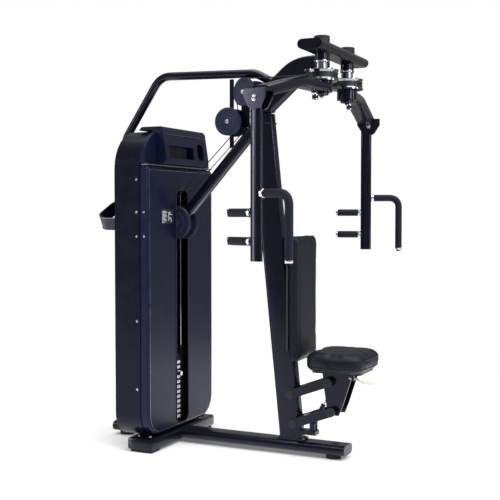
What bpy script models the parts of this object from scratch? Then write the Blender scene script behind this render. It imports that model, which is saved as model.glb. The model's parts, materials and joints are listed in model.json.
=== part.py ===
"""Pec deck machine: a weight-stack fly machine with two overhead-pivoted arms.

Metres, +Z up, +X the way the user faces, +Y to the user's left. The origin is on the floor, at the middle
of the front foot, straight below the line that joins the two arm pivots.
"""

import math

import bmesh
import bpy
from mathutils import Matrix, Vector

# ---------------------------------------------------------------- driving dimensions
GAP = 0.0003  # clearance between pieces that rest on each other
RUN = 0.0010  # running clearance of a turning or sliding piece

FOOT_RADIUS = 0.0375
FOOT_HEIGHT = 0.022
RAIL_WIDTH = 0.120  # flat-oval base tube
RAIL_HEIGHT = 0.050
RAIL_FRONT = 0.075

TOWER_BACK = -1.035  # rear face of the weight housing
SHROUD_DEPTH = 0.145
COVER_DEPTH = 0.044
TOWER_HALF_WIDTH = 0.345
TOWER_TOP = 1.610
TOWER_TOP_RADIUS = 0.200
TOWER_BOTTOM_RADIUS = 0.120
WALL = 0.004  # sheet of the housing
CONSOLE_BOTTOM = 1.440
CROSS_FOOT_HALF = 0.335
CROSS_FOOT_DEPTH = 0.145
PAD_HEIGHT = 0.012

SLOT_CLEAR = 0.007  # beside the tower pulleys, which stand through the slot
SLOT_BOTTOM = 0.100
SLOT_TOP = 1.312

STACK_X = -0.945
PLATE_DEPTH = 0.112
PLATE_PITCH = 0.0262
PLATE_COUNT = 12
LIFTED_PLATES = 3
YOKE_TOP = 0.600  # where the cables hold the stack's head
ROD_RADIUS = 0.0125
ROD_SPREAD = 0.158
STEM_RADIUS = 0.011

COLUMN_DEPTH = 0.120
COLUMN_WIDTH = 0.060
COLUMN_FOOT_X = -0.2165  # centre of the column's foot
COLUMN_LEAN = 0.103  # backward travel per metre of height
COLUMN_TOP = 1.640

BAR_HALF_LENGTH = 0.330  # overhead crossbar
BAR_WIDTH = 0.120
BAR_HEIGHT = 0.045
BAR_BOTTOM = 1.936
PIVOT_Y = 0.175
SHAFT_RADIUS = 0.020
HOUSING_RADIUS = 0.033
HOUSING_BOTTOM = 1.893
CAP_TOP = 2.022
DISC_RADIUS = 0.080
DISC_TOP = 1.857
DISC_THICKNESS = 0.007
DRUM_GROOVE = 0.070
PIN_CIRCLE = 0.060  # radius of the start-position holes
PIN_PITCH = 15.0  # degrees between them
PIN_BOSS = 0.006  # the boss that guides the pin below the arm
PIN_TRAVEL = 0.0085  # from drawn down to standing in a hole
ARM_TOP = 1.806
ARM_WIDTH = 0.100
ARM_THICKNESS = 0.050
ARM_DROP = 0.075  # of the arm's centre line, from pivot to yoke

POST_Y = 0.720  # where the handle posts hang
POST_X = -0.080
YOKE_PIN_Z = 1.672
POST_BOTTOM = 0.993
POST_DEPTH = 0.058
POST_WIDTH = 0.034
TOE_OUT = math.radians(18.0)  # the hand plane turns out by this much
GRIP_RADIUS = 0.0175
HANDLE_TUBE_RADIUS = 0.0125
REAR_GRIP_HEIGHTS = (1.197, 1.076)
REAR_GRIP_REACH = 0.165
PEC_GRIP_Z = 1.278
PEC_GRIP_REACH = 0.180
PEC_GRIP_BOTTOM = 0.985

ROLLBAR_RADIUS = 0.021
ROLLBAR_TOP = 1.910
ROLLBAR_BACK = -1.190
BRACE_SIZE = 0.050
BRACE_SLOPE = 1.098

PULLEY_RIM = 0.070
PULLEY_THICKNESS = 0.022
TOWER_PULLEY_RIM = 0.088
GROOVE_DEPTH = 0.009
AXLE_RADIUS = 0.008
CABLE_RADIUS = 0.0025
CABLE_Y = 0.042

BACK_PAD_BACK = -0.192
BACK_PAD_THICKNESS = 0.055
BACK_PAD_HALF_WIDTH = 0.140
BACK_PAD_BOTTOM = 0.465
BACK_PAD_HEIGHT = 0.630
BOARD = 0.010

SEAT_CLEAR = 0.022  # from the back pad's face to the seat's rear edge
SEAT_LENGTH = 0.330
SEAT_HALF_WIDTH = 0.185
SEAT_BOTTOM = 0.440
SEAT_THICKNESS = 0.085
LINK_SPAN = (0.199, 0.075)  # from a column pivot to its seat pivot
LINK_RISE = (-0.016, 0.143)  # from the lower pivots to the upper ones
LOWER_PIVOT = (-0.186, 0.163)
LINK_Y = 0.075  # outer face of the links
LINK_HEIGHT = 0.044
LINK_WALL = 0.008
GAS_FOOT = (-0.105, 0.150)  # pin of the gas spring on the column
GAS_HEAD = (-0.012, 0.338)  # pin of the gas spring on the seat carriage
GAS_CYLINDER = 0.120
PIN_FORWARD = 0.012  # the yoke's pin stands this far ahead of the post, above the handle's balance point

# ---------------------------------------------------------------- dependent sizes
NECK_TOP = BAR_BOTTOM - 0.035  # centre line of the gooseneck's end
RAIL_BOTTOM = FOOT_HEIGHT
RAIL_TOP = RAIL_BOTTOM + RAIL_HEIGHT
SHROUD_FRONT = TOWER_BACK + SHROUD_DEPTH
COVER_FRONT = SHROUD_FRONT + 0.001 + COVER_DEPTH
TOWER_BOTTOM = RAIL_TOP + 0.001
CROSS_FOOT_FRONT = COVER_FRONT + 0.015
CROSS_FOOT_BACK = CROSS_FOOT_FRONT - CROSS_FOOT_DEPTH
FRAME_FLOOR = TOWER_BOTTOM + WALL + 0.002
FRAME_OUTER = TOWER_HALF_WIDTH - TOWER_BOTTOM_RADIUS + 0.007
UPRIGHT = 0.036
STACK_BOTTOM = FRAME_FLOOR + 0.012 + 0.012  # floor plate, then the rubber bumpers
PLATE_HALF = FRAME_OUTER - UPRIGHT - 0.006
RAIL_BACK = ROLLBAR_BACK - 0.055
LOWER_PLATES = PLATE_COUNT - LIFTED_PLATES
LIFT_SPLIT = STACK_BOTTOM + LOWER_PLATES * PLATE_PITCH
SLOT_HALF = CABLE_Y + PULLEY_THICKNESS / 2 + SLOT_CLEAR
SEAT_X = BACK_PAD_BACK + BACK_PAD_THICKNESS + SEAT_CLEAR + SEAT_LENGTH / 2
STACK_TOP = STACK_BOTTOM + PLATE_COUNT * PLATE_PITCH
CLUTCH_Z = LIFT_SPLIT + PLATE_PITCH / 2  # height of the selector pin
BRACE_HALF = BRACE_SIZE / 2

PARTS = "pec_deck_machine"
CUTTERS = "cutters"


def clear_scene():
    for old in list(bpy.data.objects):
        bpy.data.objects.remove(old)
    for name in (PARTS, CUTTERS):
        collection = bpy.data.collections.new(name)
        bpy.context.scene.collection.children.link(collection)
    bpy.data.collections[CUTTERS].hide_render = True


# ---------------------------------------------------------------- materials


def finish(name, colour, roughness, metallic=0.0):
    """A plain Principled finish, made once and shared by the pieces that have it."""
    material = bpy.data.materials.get(name)
    if material is None:
        material = bpy.data.materials.new(name)
        material.use_nodes = True
        shader = material.node_tree.nodes["Principled BSDF"]
        shader.inputs["Base Color"].default_value = (*colour, 1.0)
        shader.inputs["Roughness"].default_value = roughness
        shader.inputs["Metallic"].default_value = metallic
    return material


def black_paint():
    return finish("gloss_black_paint", (0.012, 0.012, 0.016), 0.25)


def navy_panel():
    return finish("navy_black_panel", (0.018, 0.022, 0.036), 0.35)


def chrome():
    return finish("chrome", (0.75, 0.76, 0.78), 0.12, 1.0)


def rubber():
    return finish("grip_rubber", (0.03, 0.034, 0.045), 0.75)


def vinyl():
    return finish("pad_vinyl", (0.02, 0.022, 0.032), 0.55)


def nylon():
    return finish("pulley_nylon", (0.035, 0.037, 0.06), 0.5)


def iron():
    return finish("plate_iron", (0.02, 0.02, 0.022), 0.6, 0.4)


# ---------------------------------------------------------------- modelling helpers


def into_scene(name, data, material, at=(0, 0, 0), collection=PARTS):
    """Adds an object whose data is already relative to its place `at`."""
    item = bpy.data.objects.new(name, data)
    bpy.data.collections[collection].objects.link(item)
    item.location = at
    if material is not None:
        data.materials.append(material)
    return item


def mesh_piece(name, bm, material, at=(0, 0, 0), collection=PARTS, smooth=None):
    """Turns a bmesh drawn in world coordinates into an object with its origin at `at`."""
    bmesh.ops.translate(bm, verts=bm.verts, vec=-Vector(at))
    bmesh.ops.recalc_face_normals(bm, faces=bm.faces)
    mesh = bpy.data.meshes.new(name)
    bm.to_mesh(mesh)
    bm.free()
    item = into_scene(name, mesh, material, at, collection)
    if smooth is not None:
        mesh.shade_smooth()
        mesh.set_sharp_from_angle(angle=math.radians(smooth))
    return item


def box_mesh(low, high):
    bm = bmesh.new()
    bmesh.ops.create_cube(bm, size=1.0)
    low, high = Vector(low), Vector(high)
    bmesh.ops.scale(bm, verts=bm.verts, vec=high - low)
    bmesh.ops.translate(bm, verts=bm.verts, vec=(low + high) / 2)
    return bm


def box(name, low, high, material, at=(0, 0, 0), bevel=0.0, collection=PARTS):
    item = mesh_piece(name, box_mesh(low, high), material, at, collection)
    if bevel:
        round_edges(item, bevel)
    return item


def round_edges(item, width, segments=2, angle=35):
    bevel = item.modifiers.new("Rounded edges", "BEVEL")
    bevel.width = width
    bevel.segments = segments
    bevel.limit_method = "ANGLE"
    bevel.angle_limit = math.radians(angle)
    return bevel


def bar_mesh(start, end, radius, sides=20, end_radius=None):
    """A round bar between two points."""
    start, end = Vector(start), Vector(end)
    bm = bmesh.new()
    bmesh.ops.create_cone(
        bm,
        cap_ends=True,
        segments=sides,
        radius1=radius,
        radius2=radius if end_radius is None else end_radius,
        depth=(end - start).length,
    )
    turn = (end - start).to_track_quat("Z", "Y").to_matrix().to_4x4()
    bmesh.ops.transform(bm, matrix=Matrix.Translation((start + end) / 2) @ turn, verts=bm.verts)
    return bm


def bar(name, start, end, radius, material, at=(0, 0, 0), sides=20, collection=PARTS):
    return mesh_piece(name, bar_mesh(start, end, radius, sides), material, at, collection, smooth=40)


def outline_mesh(name, points, half_depth):
    """The mesh of a flat closed outline, filled on both sides and extruded by half_depth each way along Z."""
    curve = bpy.data.curves.new(name, "CURVE")
    curve.dimensions = "2D"
    curve.fill_mode = "BOTH"
    curve.extrude = half_depth
    spline = curve.splines.new("POLY")
    spline.points.add(len(points) - 1)
    for point, (x, y) in zip(spline.points, points):
        point.co = (x, y, 0, 1)
    spline.use_cyclic_u = True
    helper = bpy.data.objects.new(name, curve)
    bpy.context.scene.collection.objects.link(helper)
    bpy.context.view_layer.update()
    evaluated = helper.evaluated_get(bpy.context.evaluated_depsgraph_get())
    mesh = bpy.data.meshes.new_from_object(evaluated)
    bpy.data.objects.remove(helper)
    bm = bmesh.new()
    bm.from_mesh(mesh)
    bmesh.ops.remove_doubles(bm, verts=bm.verts, dist=1e-5)
    bmesh.ops.dissolve_limit(bm, angle_limit=0.01, verts=bm.verts, edges=bm.edges)
    return bm


ALONG_X = Matrix(((0, 0, 1, 0), (1, 0, 0, 0), (0, 1, 0, 0), (0, 0, 0, 1)))  # outline in Y and Z
ALONG_Y = Matrix(((1, 0, 0, 0), (0, 0, -1, 0), (0, 1, 0, 0), (0, 0, 0, 1)))  # outline in X and Z
ALONG_Z = Matrix.Identity(4)  # outline in X and Y


def prism_mesh(points, way, low, high):
    """An outline extruded from low to high along the axis that `way` names."""
    bm = outline_mesh("outline", points, (high - low) / 2)
    middle = (low + high) / 2
    offset = way @ Vector((0, 0, middle))
    bmesh.ops.transform(bm, matrix=Matrix.Translation(offset) @ way, verts=bm.verts)
    return bm


def prism(name, points, way, low, high, material, at=(0, 0, 0), collection=PARTS, smooth=30):
    return mesh_piece(name, prism_mesh(points, way, low, high), material, at, collection, smooth)


def arc(centre, radius, start, end, steps):
    """Points on an arc, angles in degrees."""
    turns = [math.radians(start + (end - start) * i / steps) for i in range(steps + 1)]
    return [(centre[0] + radius * math.cos(t), centre[1] + radius * math.sin(t)) for t in turns]


def rounded_box_outline(low, high, radii, steps=6):
    """A rectangle with its own corner radii: bottom right, top right, top left, bottom left."""
    (x0, y0), (x1, y1) = low, high
    br, tr, tl, bl = radii
    return (
        arc((x1 - br, y0 + br), br, -90, 0, steps)
        + arc((x1 - tr, y1 - tr), tr, 0, 90, steps)
        + arc((x0 + tl, y1 - tl), tl, 90, 180, steps)
        + arc((x0 + bl, y0 + bl), bl, 180, 270, steps)
    )


def flat_oval(width, height, steps=6):
    """A flat-oval tube's outline, long in the first direction."""
    radius = height / 2
    half = width / 2 - radius
    return arc((half, 0), radius, -90, 90, 2 * steps) + arc((-half, 0), radius, 90, 270, 2 * steps)


def eased_path(points, radius, steps=5):
    """A path through corner points with each inner corner rounded to about `radius`."""
    points = [Vector(p) for p in points]
    path = [points[0]]
    for before, corner, after in zip(points, points[1:], points[2:]):
        back, on = (before - corner).normalized(), (after - corner).normalized()
        half_turn = (math.pi - back.angle(on)) / 2
        shorter = min((before - corner).length, (after - corner).length)
        reach = min(radius * math.tan(half_turn), 0.49 * shorter)
        start, end = corner + back * reach, corner + on * reach
        for i in range(steps + 1):
            t = i / steps
            path.append((1 - t) ** 2 * start + 2 * t * (1 - t) * corner + t**2 * end)
    path.append(points[-1])
    return path


def swept(name, path, material, at=(0, 0, 0), radius=None, section=None, resolution=3):
    """A tube along a path, round by default, or with a closed flat section in the path's own frame."""
    curve = bpy.data.curves.new(name, "CURVE")
    curve.dimensions = "3D"
    curve.use_fill_caps = True
    curve.twist_mode = "MINIMUM" if section is None else "Z_UP"
    spline = curve.splines.new("POLY")
    spline.points.add(len(path) - 1)
    origin = Vector(at)
    for point, place in zip(spline.points, path):
        point.co = (*(Vector(place) - origin), 1)
    if section is None:
        curve.bevel_depth = radius
        curve.bevel_resolution = resolution
    else:
        profile = bpy.data.curves.new(name + "_section", "CURVE")
        profile.dimensions = "2D"
        outline = profile.splines.new("POLY")
        outline.points.add(len(section) - 1)
        for point, (x, y) in zip(outline.points, section):
            point.co = (x, y, 0, 1)
        outline.use_cyclic_u = True
        guide = into_scene(name + "_section", profile, None, collection=CUTTERS)
        guide.hide_render = True
        guide.display_type = "WIRE"
        curve.bevel_mode = "OBJECT"
        curve.bevel_object = guide
    return into_scene(name, curve, material, at)


def as_mesh(item):
    """Turns a curve piece into a closed mesh piece of the same name, so that it can be cut or joined."""
    bpy.context.view_layer.update()
    evaluated = item.evaluated_get(bpy.context.evaluated_depsgraph_get())
    mesh = bpy.data.meshes.new_from_object(evaluated)
    bm = bmesh.new()
    bm.from_mesh(mesh)
    bmesh.ops.remove_doubles(bm, verts=bm.verts, dist=1e-5)
    bmesh.ops.recalc_face_normals(bm, faces=bm.faces)
    bm.to_mesh(mesh)
    bm.free()
    name, matrix, material = item.name, item.matrix_world.copy(), item.active_material
    bpy.data.objects.remove(item)
    solid = bpy.data.objects.new(name, mesh)
    bpy.data.collections[PARTS].objects.link(solid)
    solid.matrix_world = matrix
    if material is not None and not mesh.materials:
        mesh.materials.append(material)
    return solid


def taken_mesh(item):
    """The mesh of a piece made only to cut or join with, as the piece is removed."""
    bm = bmesh.new()
    bm.from_mesh(item.data)
    bm.transform(item.matrix_world)
    bpy.data.objects.remove(item)
    return bm


def combine(item, tool_mesh, operation):
    """Joins a drawn shape to a piece, or cuts it away, with an exact Boolean."""
    tool = mesh_piece(item.name + "_tool", tool_mesh, None, collection=CUTTERS)
    tool.hide_render = True
    tool.display_type = "WIRE"
    step = item.modifiers.new(operation.title(), "BOOLEAN")
    step.operation = operation
    step.solver = "EXACT"
    step.object = tool
    return item


def join(item, tool_mesh):
    return combine(item, tool_mesh, "UNION")


def cut(item, tool_mesh):
    return combine(item, tool_mesh, "DIFFERENCE")


def turned(name, profile, centre, axis, material, steps=28):
    """A round piece from (radius, height) points, listed down its outer side, about `axis` through `centre`."""
    bm = bmesh.new()
    corners = [bm.verts.new((radius, 0, height)) for radius, height in profile]
    for first, second in zip(corners, corners[1:]):
        bm.edges.new((first, second))
    if profile[0][0] > 0 and profile[-1][0] > 0:
        bm.edges.new((corners[-1], corners[0]))
    mesh = bpy.data.meshes.new(name)
    bm.to_mesh(mesh)
    bm.free()
    item = into_scene(name, mesh, material, centre)
    item.rotation_euler = Vector(axis).to_track_quat("Z", "Y").to_euler()
    screw = item.modifiers.new("Turned", "SCREW")
    screw.axis = "Z"
    screw.steps = steps
    screw.render_steps = steps
    screw.use_merge_vertices = True
    screw.merge_threshold = 0.00001
    screw.use_smooth_shade = True
    return item


# ---------------------------------------------------------------- base


def make_base():
    middle = (RAIL_BOTTOM + RAIL_TOP) / 2
    oval = [(y, z + middle) for y, z in flat_oval(RAIL_WIDTH, RAIL_HEIGHT)]
    prism("base_rail", oval, ALONG_X, CROSS_FOOT_FRONT + GAP, RAIL_FRONT, black_paint())
    prism("rear_rail", oval, ALONG_X, RAIL_BACK, CROSS_FOOT_BACK - GAP, black_paint())
    bar("front_foot", (0, 0, 0), (0, 0, FOOT_HEIGHT - GAP), FOOT_RADIUS, rubber(), sides=28)
    bar(
        "rear_foot",
        (ROLLBAR_BACK, 0, 0),
        (ROLLBAR_BACK, 0, FOOT_HEIGHT - GAP),
        FOOT_RADIUS,
        rubber(),
        at=(ROLLBAR_BACK, 0, 0),
        sides=28,
    )
    box(
        "cross_foot",
        (CROSS_FOOT_BACK, -CROSS_FOOT_HALF, PAD_HEIGHT + GAP),
        (CROSS_FOOT_FRONT, CROSS_FOOT_HALF, RAIL_TOP),
        black_paint(),
        bevel=0.012,
    )
    for side, name in ((-1, "foot_pad_right"), (1, "foot_pad_left")):
        outer = side * (CROSS_FOOT_HALF - 0.015)
        inner = side * (CROSS_FOOT_HALF - 0.095)
        box(
            name,
            (CROSS_FOOT_BACK + 0.014, min(outer, inner), 0),
            (CROSS_FOOT_FRONT - 0.014, max(outer, inner), PAD_HEIGHT),
            rubber(),
        )


# ---------------------------------------------------------------- weight housing


def housing_outline(inset, bottom, top, top_radius, steps=8):
    """The housing's front outline in Y and Z."""
    half = TOWER_HALF_WIDTH - inset
    low = TOWER_BOTTOM_RADIUS - inset
    return rounded_box_outline((-half, bottom), (half, top), (low, top_radius, top_radius, low), steps)


def shell_mesh(outline_back, outline_front, back, front, closed_at_back):
    """An open tray: a band between two matching outlines, closed at one end."""
    bm = bmesh.new()
    rear = [bm.verts.new((back, y, z)) for y, z in outline_back]
    nose = [bm.verts.new((front, y, z)) for y, z in outline_front]
    ring = list(zip(rear, rear[1:] + rear[:1], nose[1:] + nose[:1], nose))
    for a, b, c, d in ring:
        bm.faces.new((a, b, c, d))
    bm.faces.new(rear if closed_at_back else nose)
    return bm


def thicken(item):
    solidify = item.modifiers.new("Sheet", "SOLIDIFY")
    solidify.thickness = WALL
    solidify.offset = -1.0
    solidify.use_even_offset = True
    return solidify


def make_housing():
    outline = housing_outline(0.0, TOWER_BOTTOM, TOWER_TOP, TOWER_TOP_RADIUS)
    shroud = mesh_piece(
        "rear_shroud",
        shell_mesh(outline, outline, TOWER_BACK, SHROUD_FRONT, True),
        black_paint(),
        smooth=35,
    )
    thicken(shroud)

    cover_top = CONSOLE_BOTTOM - 0.012
    full = housing_outline(0.004, TOWER_BOTTOM + 0.004, cover_top, 0.015, steps=6)
    face = housing_outline(0.016, TOWER_BOTTOM + 0.016, cover_top - 0.012, 0.006, steps=6)
    back = SHROUD_FRONT + 0.001
    bm = bmesh.new()
    loops = []
    for x, points in ((back, full), (COVER_FRONT - 0.010, full), (COVER_FRONT, face)):
        loops.append([bm.verts.new((x, y, z)) for y, z in points])
    for rear, nose in zip(loops, loops[1:]):
        for i in range(len(rear)):
            j = (i + 1) % len(rear)
            bm.faces.new((rear[i], rear[j], nose[j], nose[i]))
    bm.faces.new(loops[-1])
    cover = mesh_piece("front_cover", bm, navy_panel(), smooth=35)
    thicken(cover)
    slot = rounded_box_outline((-SLOT_HALF, SLOT_BOTTOM), (SLOT_HALF, SLOT_TOP), (0.035,) * 4, 4)
    cut(cover, prism_mesh(slot, ALONG_X, COVER_FRONT - 0.02, COVER_FRONT + 0.02))


def make_console():
    """The hood on the housing: side wings, a centre block with a tray and a cup, and a lip over the top."""
    half = TOWER_HALF_WIDTH - 0.006
    top = TOWER_TOP - 0.004
    radius = TOWER_TOP_RADIUS - 0.006
    back = SHROUD_FRONT + 0.001
    wings = rounded_box_outline((-half, CONSOLE_BOTTOM), (half, top), (0.004, 0.160, 0.160, 0.004), 8)
    console = prism("console", wings, ALONG_X, back, back + 0.022, navy_panel())
    block_half = 0.225
    lip = TOWER_TOP + 0.0005
    side = [
        (back, CONSOLE_BOTTOM),
        (back + 0.070, CONSOLE_BOTTOM + 0.004),
        (back + 0.082, CONSOLE_BOTTOM + 0.030),
        (back + 0.060, lip + 0.004),
        (back + 0.048, lip + 0.018),
        (back - 0.060, lip + 0.018),
        (back - 0.075, lip + 0.004),
        (back - 0.075, lip),
        (back, lip),
    ]
    join(console, prism_mesh(side, ALONG_Y, -block_half, block_half))
    tray = rounded_box_outline((-0.190, 1.472), (0.070, 1.536), (0.010,) * 4, 3)
    cut(console, prism_mesh(tray, ALONG_X, back + 0.034, back + 0.12))
    cup = rounded_box_outline((0.112, 1.470), (0.182, 1.560), (0.030,) * 4, 4)
    cut(console, prism_mesh(cup, ALONG_X, back + 0.030, back + 0.12))
    box(
        "placard",
        (COVER_FRONT + GAP, -0.215, 1.140),
        (COVER_FRONT + 0.003, -0.095, 1.215),
        finish("placard_print", (0.05, 0.055, 0.08), 0.4),
    )


def make_tower_frame():
    """The welded frame that carries the guide rods, inside the housing."""
    back = TOWER_BACK + WALL + 0.004
    floor_top = FRAME_FLOOR + 0.012
    front = SHROUD_FRONT - 0.006
    outer = FRAME_OUTER
    frame = box("tower_frame", (back, -outer, FRAME_FLOOR), (front, outer, floor_top), black_paint())
    for side in (-1, 1):
        low = min(side * outer, side * (outer - UPRIGHT))
        foot = (back + 0.001, low + 0.001, FRAME_FLOOR + 0.002)
        join(frame, box_mesh(foot, (back + UPRIGHT, low + UPRIGHT - 0.001, 1.390)))
    join(frame, box_mesh((back, -outer, 1.380), (front, outer, 1.395)))
    join(frame, box_mesh((back, -outer + 0.01, 0.975), (back + UPRIGHT + 0.001, outer - 0.01, 1.020)))
    for side, name in ((-1, "guide_rod_right"), (1, "guide_rod_left")):
        y = side * ROD_SPREAD
        bar(name, (STACK_X, y, floor_top + GAP), (STACK_X, y, 1.380 - GAP), ROD_RADIUS, chrome())
        turned(
            name.replace("guide_rod", "stack_bumper"),
            [(0.028, 0.0098), (0.028, 0), (ROD_RADIUS + RUN, 0), (ROD_RADIUS + RUN, 0.0098)],
            (STACK_X, y, floor_top + GAP),
            (0, 0, 1),
            rubber(),
            steps=20,
        )


def make_plates(name, bottom, count, at=(0, 0, 0)):
    """Plates standing on each other, with a shallow groove at each joint."""
    half = PLATE_DEPTH / 2
    groove, depth = 0.0016, 0.004
    top = bottom + count * PLATE_PITCH
    core_low = (STACK_X - half + depth, depth - PLATE_HALF, bottom + groove)
    core_high = (STACK_X + half - depth, PLATE_HALF - depth, top - groove)
    stack = box(name, core_low, core_high, iron(), at=at)
    for i in range(count):
        low = bottom + i * PLATE_PITCH + (groove / 2 if i else 0)
        high = bottom + (i + 1) * PLATE_PITCH - (groove / 2 if i < count - 1 else 0)
        join(stack, box_mesh((STACK_X - half, -PLATE_HALF, low), (STACK_X + half, PLATE_HALF, high)))
    return stack


def drill_stack(item, bottom, top, centre_hole):
    for y in (-ROD_SPREAD, ROD_SPREAD):
        cut(item, bar_mesh((STACK_X, y, bottom - 0.01), (STACK_X, y, top + 0.01), ROD_RADIUS + 0.003, 16))
    if centre_hole:
        radius = STEM_RADIUS + 0.002
        cut(item, bar_mesh((STACK_X, 0, bottom - 0.01), (STACK_X, 0, top + 0.01), radius, 14))


def make_stack():
    stack_place = (STACK_X, 0, STACK_TOP)
    split = LIFT_SPLIT - GAP
    lower = make_plates("resting_plates", STACK_BOTTOM, LOWER_PLATES)
    drill_stack(lower, STACK_BOTTOM, split, True)
    upper = make_plates("lifted_plates", LIFT_SPLIT + GAP, LIFTED_PLATES, at=stack_place)
    top = LIFT_SPLIT + GAP + LIFTED_PLATES * PLATE_PITCH
    drill_stack(upper, LIFT_SPLIT, top, True)
    front = STACK_X + PLATE_DEPTH / 2
    cut(upper, bar_mesh((STACK_X - 0.020, 0, CLUTCH_Z), (front + 0.01, 0, CLUTCH_Z), 0.0062, 12))

    head_low = top + GAP
    head_top = head_low + 0.030
    half = PLATE_DEPTH / 2
    head = box(
        "stack_head",
        (STACK_X - half, -PLATE_HALF, head_low),
        (STACK_X + half, PLATE_HALF, head_top),
        iron(),
        at=stack_place,
    )
    join(head, bar_mesh((STACK_X, 0, STACK_BOTTOM + 0.008), (STACK_X, 0, head_top + 0.002), STEM_RADIUS, 16))
    for y in (-ROD_SPREAD, ROD_SPREAD):
        join(head, bar_mesh((STACK_X, y, head_top - 0.002), (STACK_X, y, head_top + 0.030), 0.023, 18))
    join(head, box_mesh((STACK_X - 0.010, -0.060, head_top - 0.002), (STACK_X + 0.010, 0.060, YOKE_TOP)))
    cut(head, box_mesh((STACK_X - 0.02, -0.030, head_top + 0.020), (STACK_X + 0.02, 0.030, YOKE_TOP - 0.020)))
    drill_stack(head, head_low, head_top + 0.04, False)
    cut(head, bar_mesh((STACK_X - 0.020, 0, CLUTCH_Z), (STACK_X + 0.03, 0, CLUTCH_Z), 0.0062, 12))

    knob = front + 0.012
    pin = bar(
        "selector_pin",
        (STACK_X - 0.017, 0, CLUTCH_Z),
        (knob + 0.002, 0, CLUTCH_Z),
        0.005,
        chrome(),
        at=(knob, 0, CLUTCH_Z),
        sides=12,
    )
    join(pin, bar_mesh((knob, 0, CLUTCH_Z), (knob + 0.026, 0, CLUTCH_Z), 0.012, 16))


# ---------------------------------------------------------------- frame above the base


def column_x(z):
    """The column's centre line."""
    return COLUMN_FOOT_X - COLUMN_LEAN * (z - RAIL_TOP)


def make_column():
    section = rounded_box_outline(
        (-COLUMN_DEPTH / 2, -COLUMN_WIDTH / 2), (COLUMN_DEPTH / 2, COLUMN_WIDTH / 2), (0.014,) * 4, 3
    )
    bottom = RAIL_TOP + GAP
    bm = prism_mesh(section, ALONG_Z, bottom, COLUMN_TOP)
    lean = Matrix.Identity(4)
    lean[0][2] = -COLUMN_LEAN
    lean[0][3] = COLUMN_FOOT_X + COLUMN_LEAN * RAIL_TOP
    bmesh.ops.transform(bm, matrix=lean, verts=bm.verts)
    column = mesh_piece("column", bm, black_paint(), smooth=30)
    foot = COLUMN_DEPTH / 2
    half_width = COLUMN_WIDTH / 2 + 0.004
    low = (COLUMN_FOOT_X - foot - 0.012, -half_width, bottom)
    join(column, box_mesh(low, (COLUMN_FOOT_X + foot + 0.012, half_width, bottom + 0.009)))
    # the two pivot tubes of the seat linkage are welded through the front of the column
    for x, z in (LOWER_PIVOT, (LOWER_PIVOT[0] + LINK_RISE[0], LOWER_PIVOT[1] + LINK_RISE[1])):
        half = LINK_Y - LINK_WALL - RUN
        join(column, bar_mesh((x, -half, z), (x, half, z), 0.019, 18))
    # welded stop box under the lower link
    join(column, box_mesh((-0.225, -0.028, 0.104), (GAS_FOOT[0] + 0.020, 0.028, 0.124)))
    x, z = GAS_FOOT
    for side in (-1, 1):
        low = min(side * 0.012, side * 0.020)
        join(column, box_mesh((x - 0.014, low, 0.120), (x + 0.014, low + 0.008, z + 0.012)))
    join(column, bar_mesh((x, -0.018, z), (x, 0.018, z), 0.005, 10))
    # tabs that carry the back pad's board
    board_back = BACK_PAD_BACK - BOARD - GAP
    for z in (BACK_PAD_BOTTOM + 0.170, BACK_PAD_BOTTOM + 0.520):
        join(column, box_mesh((column_x(z) + 0.030, -0.022, z - 0.020), (board_back, 0.022, z + 0.020)))


def gooseneck_tube(name, clearance):
    """The column's tube carried on, bent forward to the crossbar."""
    start = (column_x(COLUMN_TOP), 0, COLUMN_TOP)
    lower = (column_x(COLUMN_TOP + 0.085), 0, COLUMN_TOP + 0.085)
    end = (-BAR_WIDTH / 2 + 0.020, 0, NECK_TOP)
    upper = (-0.190, 0, NECK_TOP - 0.005)
    path = eased_path([start, lower, upper, end], 0.16, steps=6)
    half_width = COLUMN_WIDTH / 2 + clearance
    half_depth = COLUMN_DEPTH / 2 + clearance
    section = rounded_box_outline((-half_width, -half_depth), (half_width, half_depth), (0.014,) * 4, 3)
    return as_mesh(swept(name, path, black_paint(), section=section))


def make_gooseneck():
    neck = gooseneck_tube("gooseneck", 0.0)
    # trimmed level where it stands on the column and where it meets the crossbar
    front = -BAR_WIDTH / 2 - GAP
    cut(neck, box_mesh((-0.60, -0.1, COLUMN_TOP - 0.2), (-0.15, 0.1, COLUMN_TOP + GAP)))
    cut(neck, box_mesh((front, -0.1, 1.70), (0.2, 0.1, 2.2)))


def make_crossbar():
    middle = BAR_BOTTOM + BAR_HEIGHT / 2
    oval = [(x, z + middle) for x, z in flat_oval(BAR_WIDTH, BAR_HEIGHT)]
    bar_piece = prism("crossbar", oval, ALONG_Y, -BAR_HALF_LENGTH, BAR_HALF_LENGTH, black_paint())
    # bracket plate that ties the bar down to the end of the gooseneck
    back = -BAR_WIDTH / 2
    join(bar_piece, box_mesh((back, -0.050, NECK_TOP - 0.050), (back + 0.015, 0.050, middle)))
    for side in (-1, 1):
        y = side * PIVOT_Y
        join(bar_piece, bar_mesh((0, y, HOUSING_BOTTOM), (0, y, CAP_TOP - 0.006), HOUSING_RADIUS, 24))
    for side in (-1, 1):
        y = side * PIVOT_Y
        cut(bar_piece, bar_mesh((0, y, HOUSING_BOTTOM - 0.01), (0, y, 1.990), SHAFT_RADIUS + RUN, 20))


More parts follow.
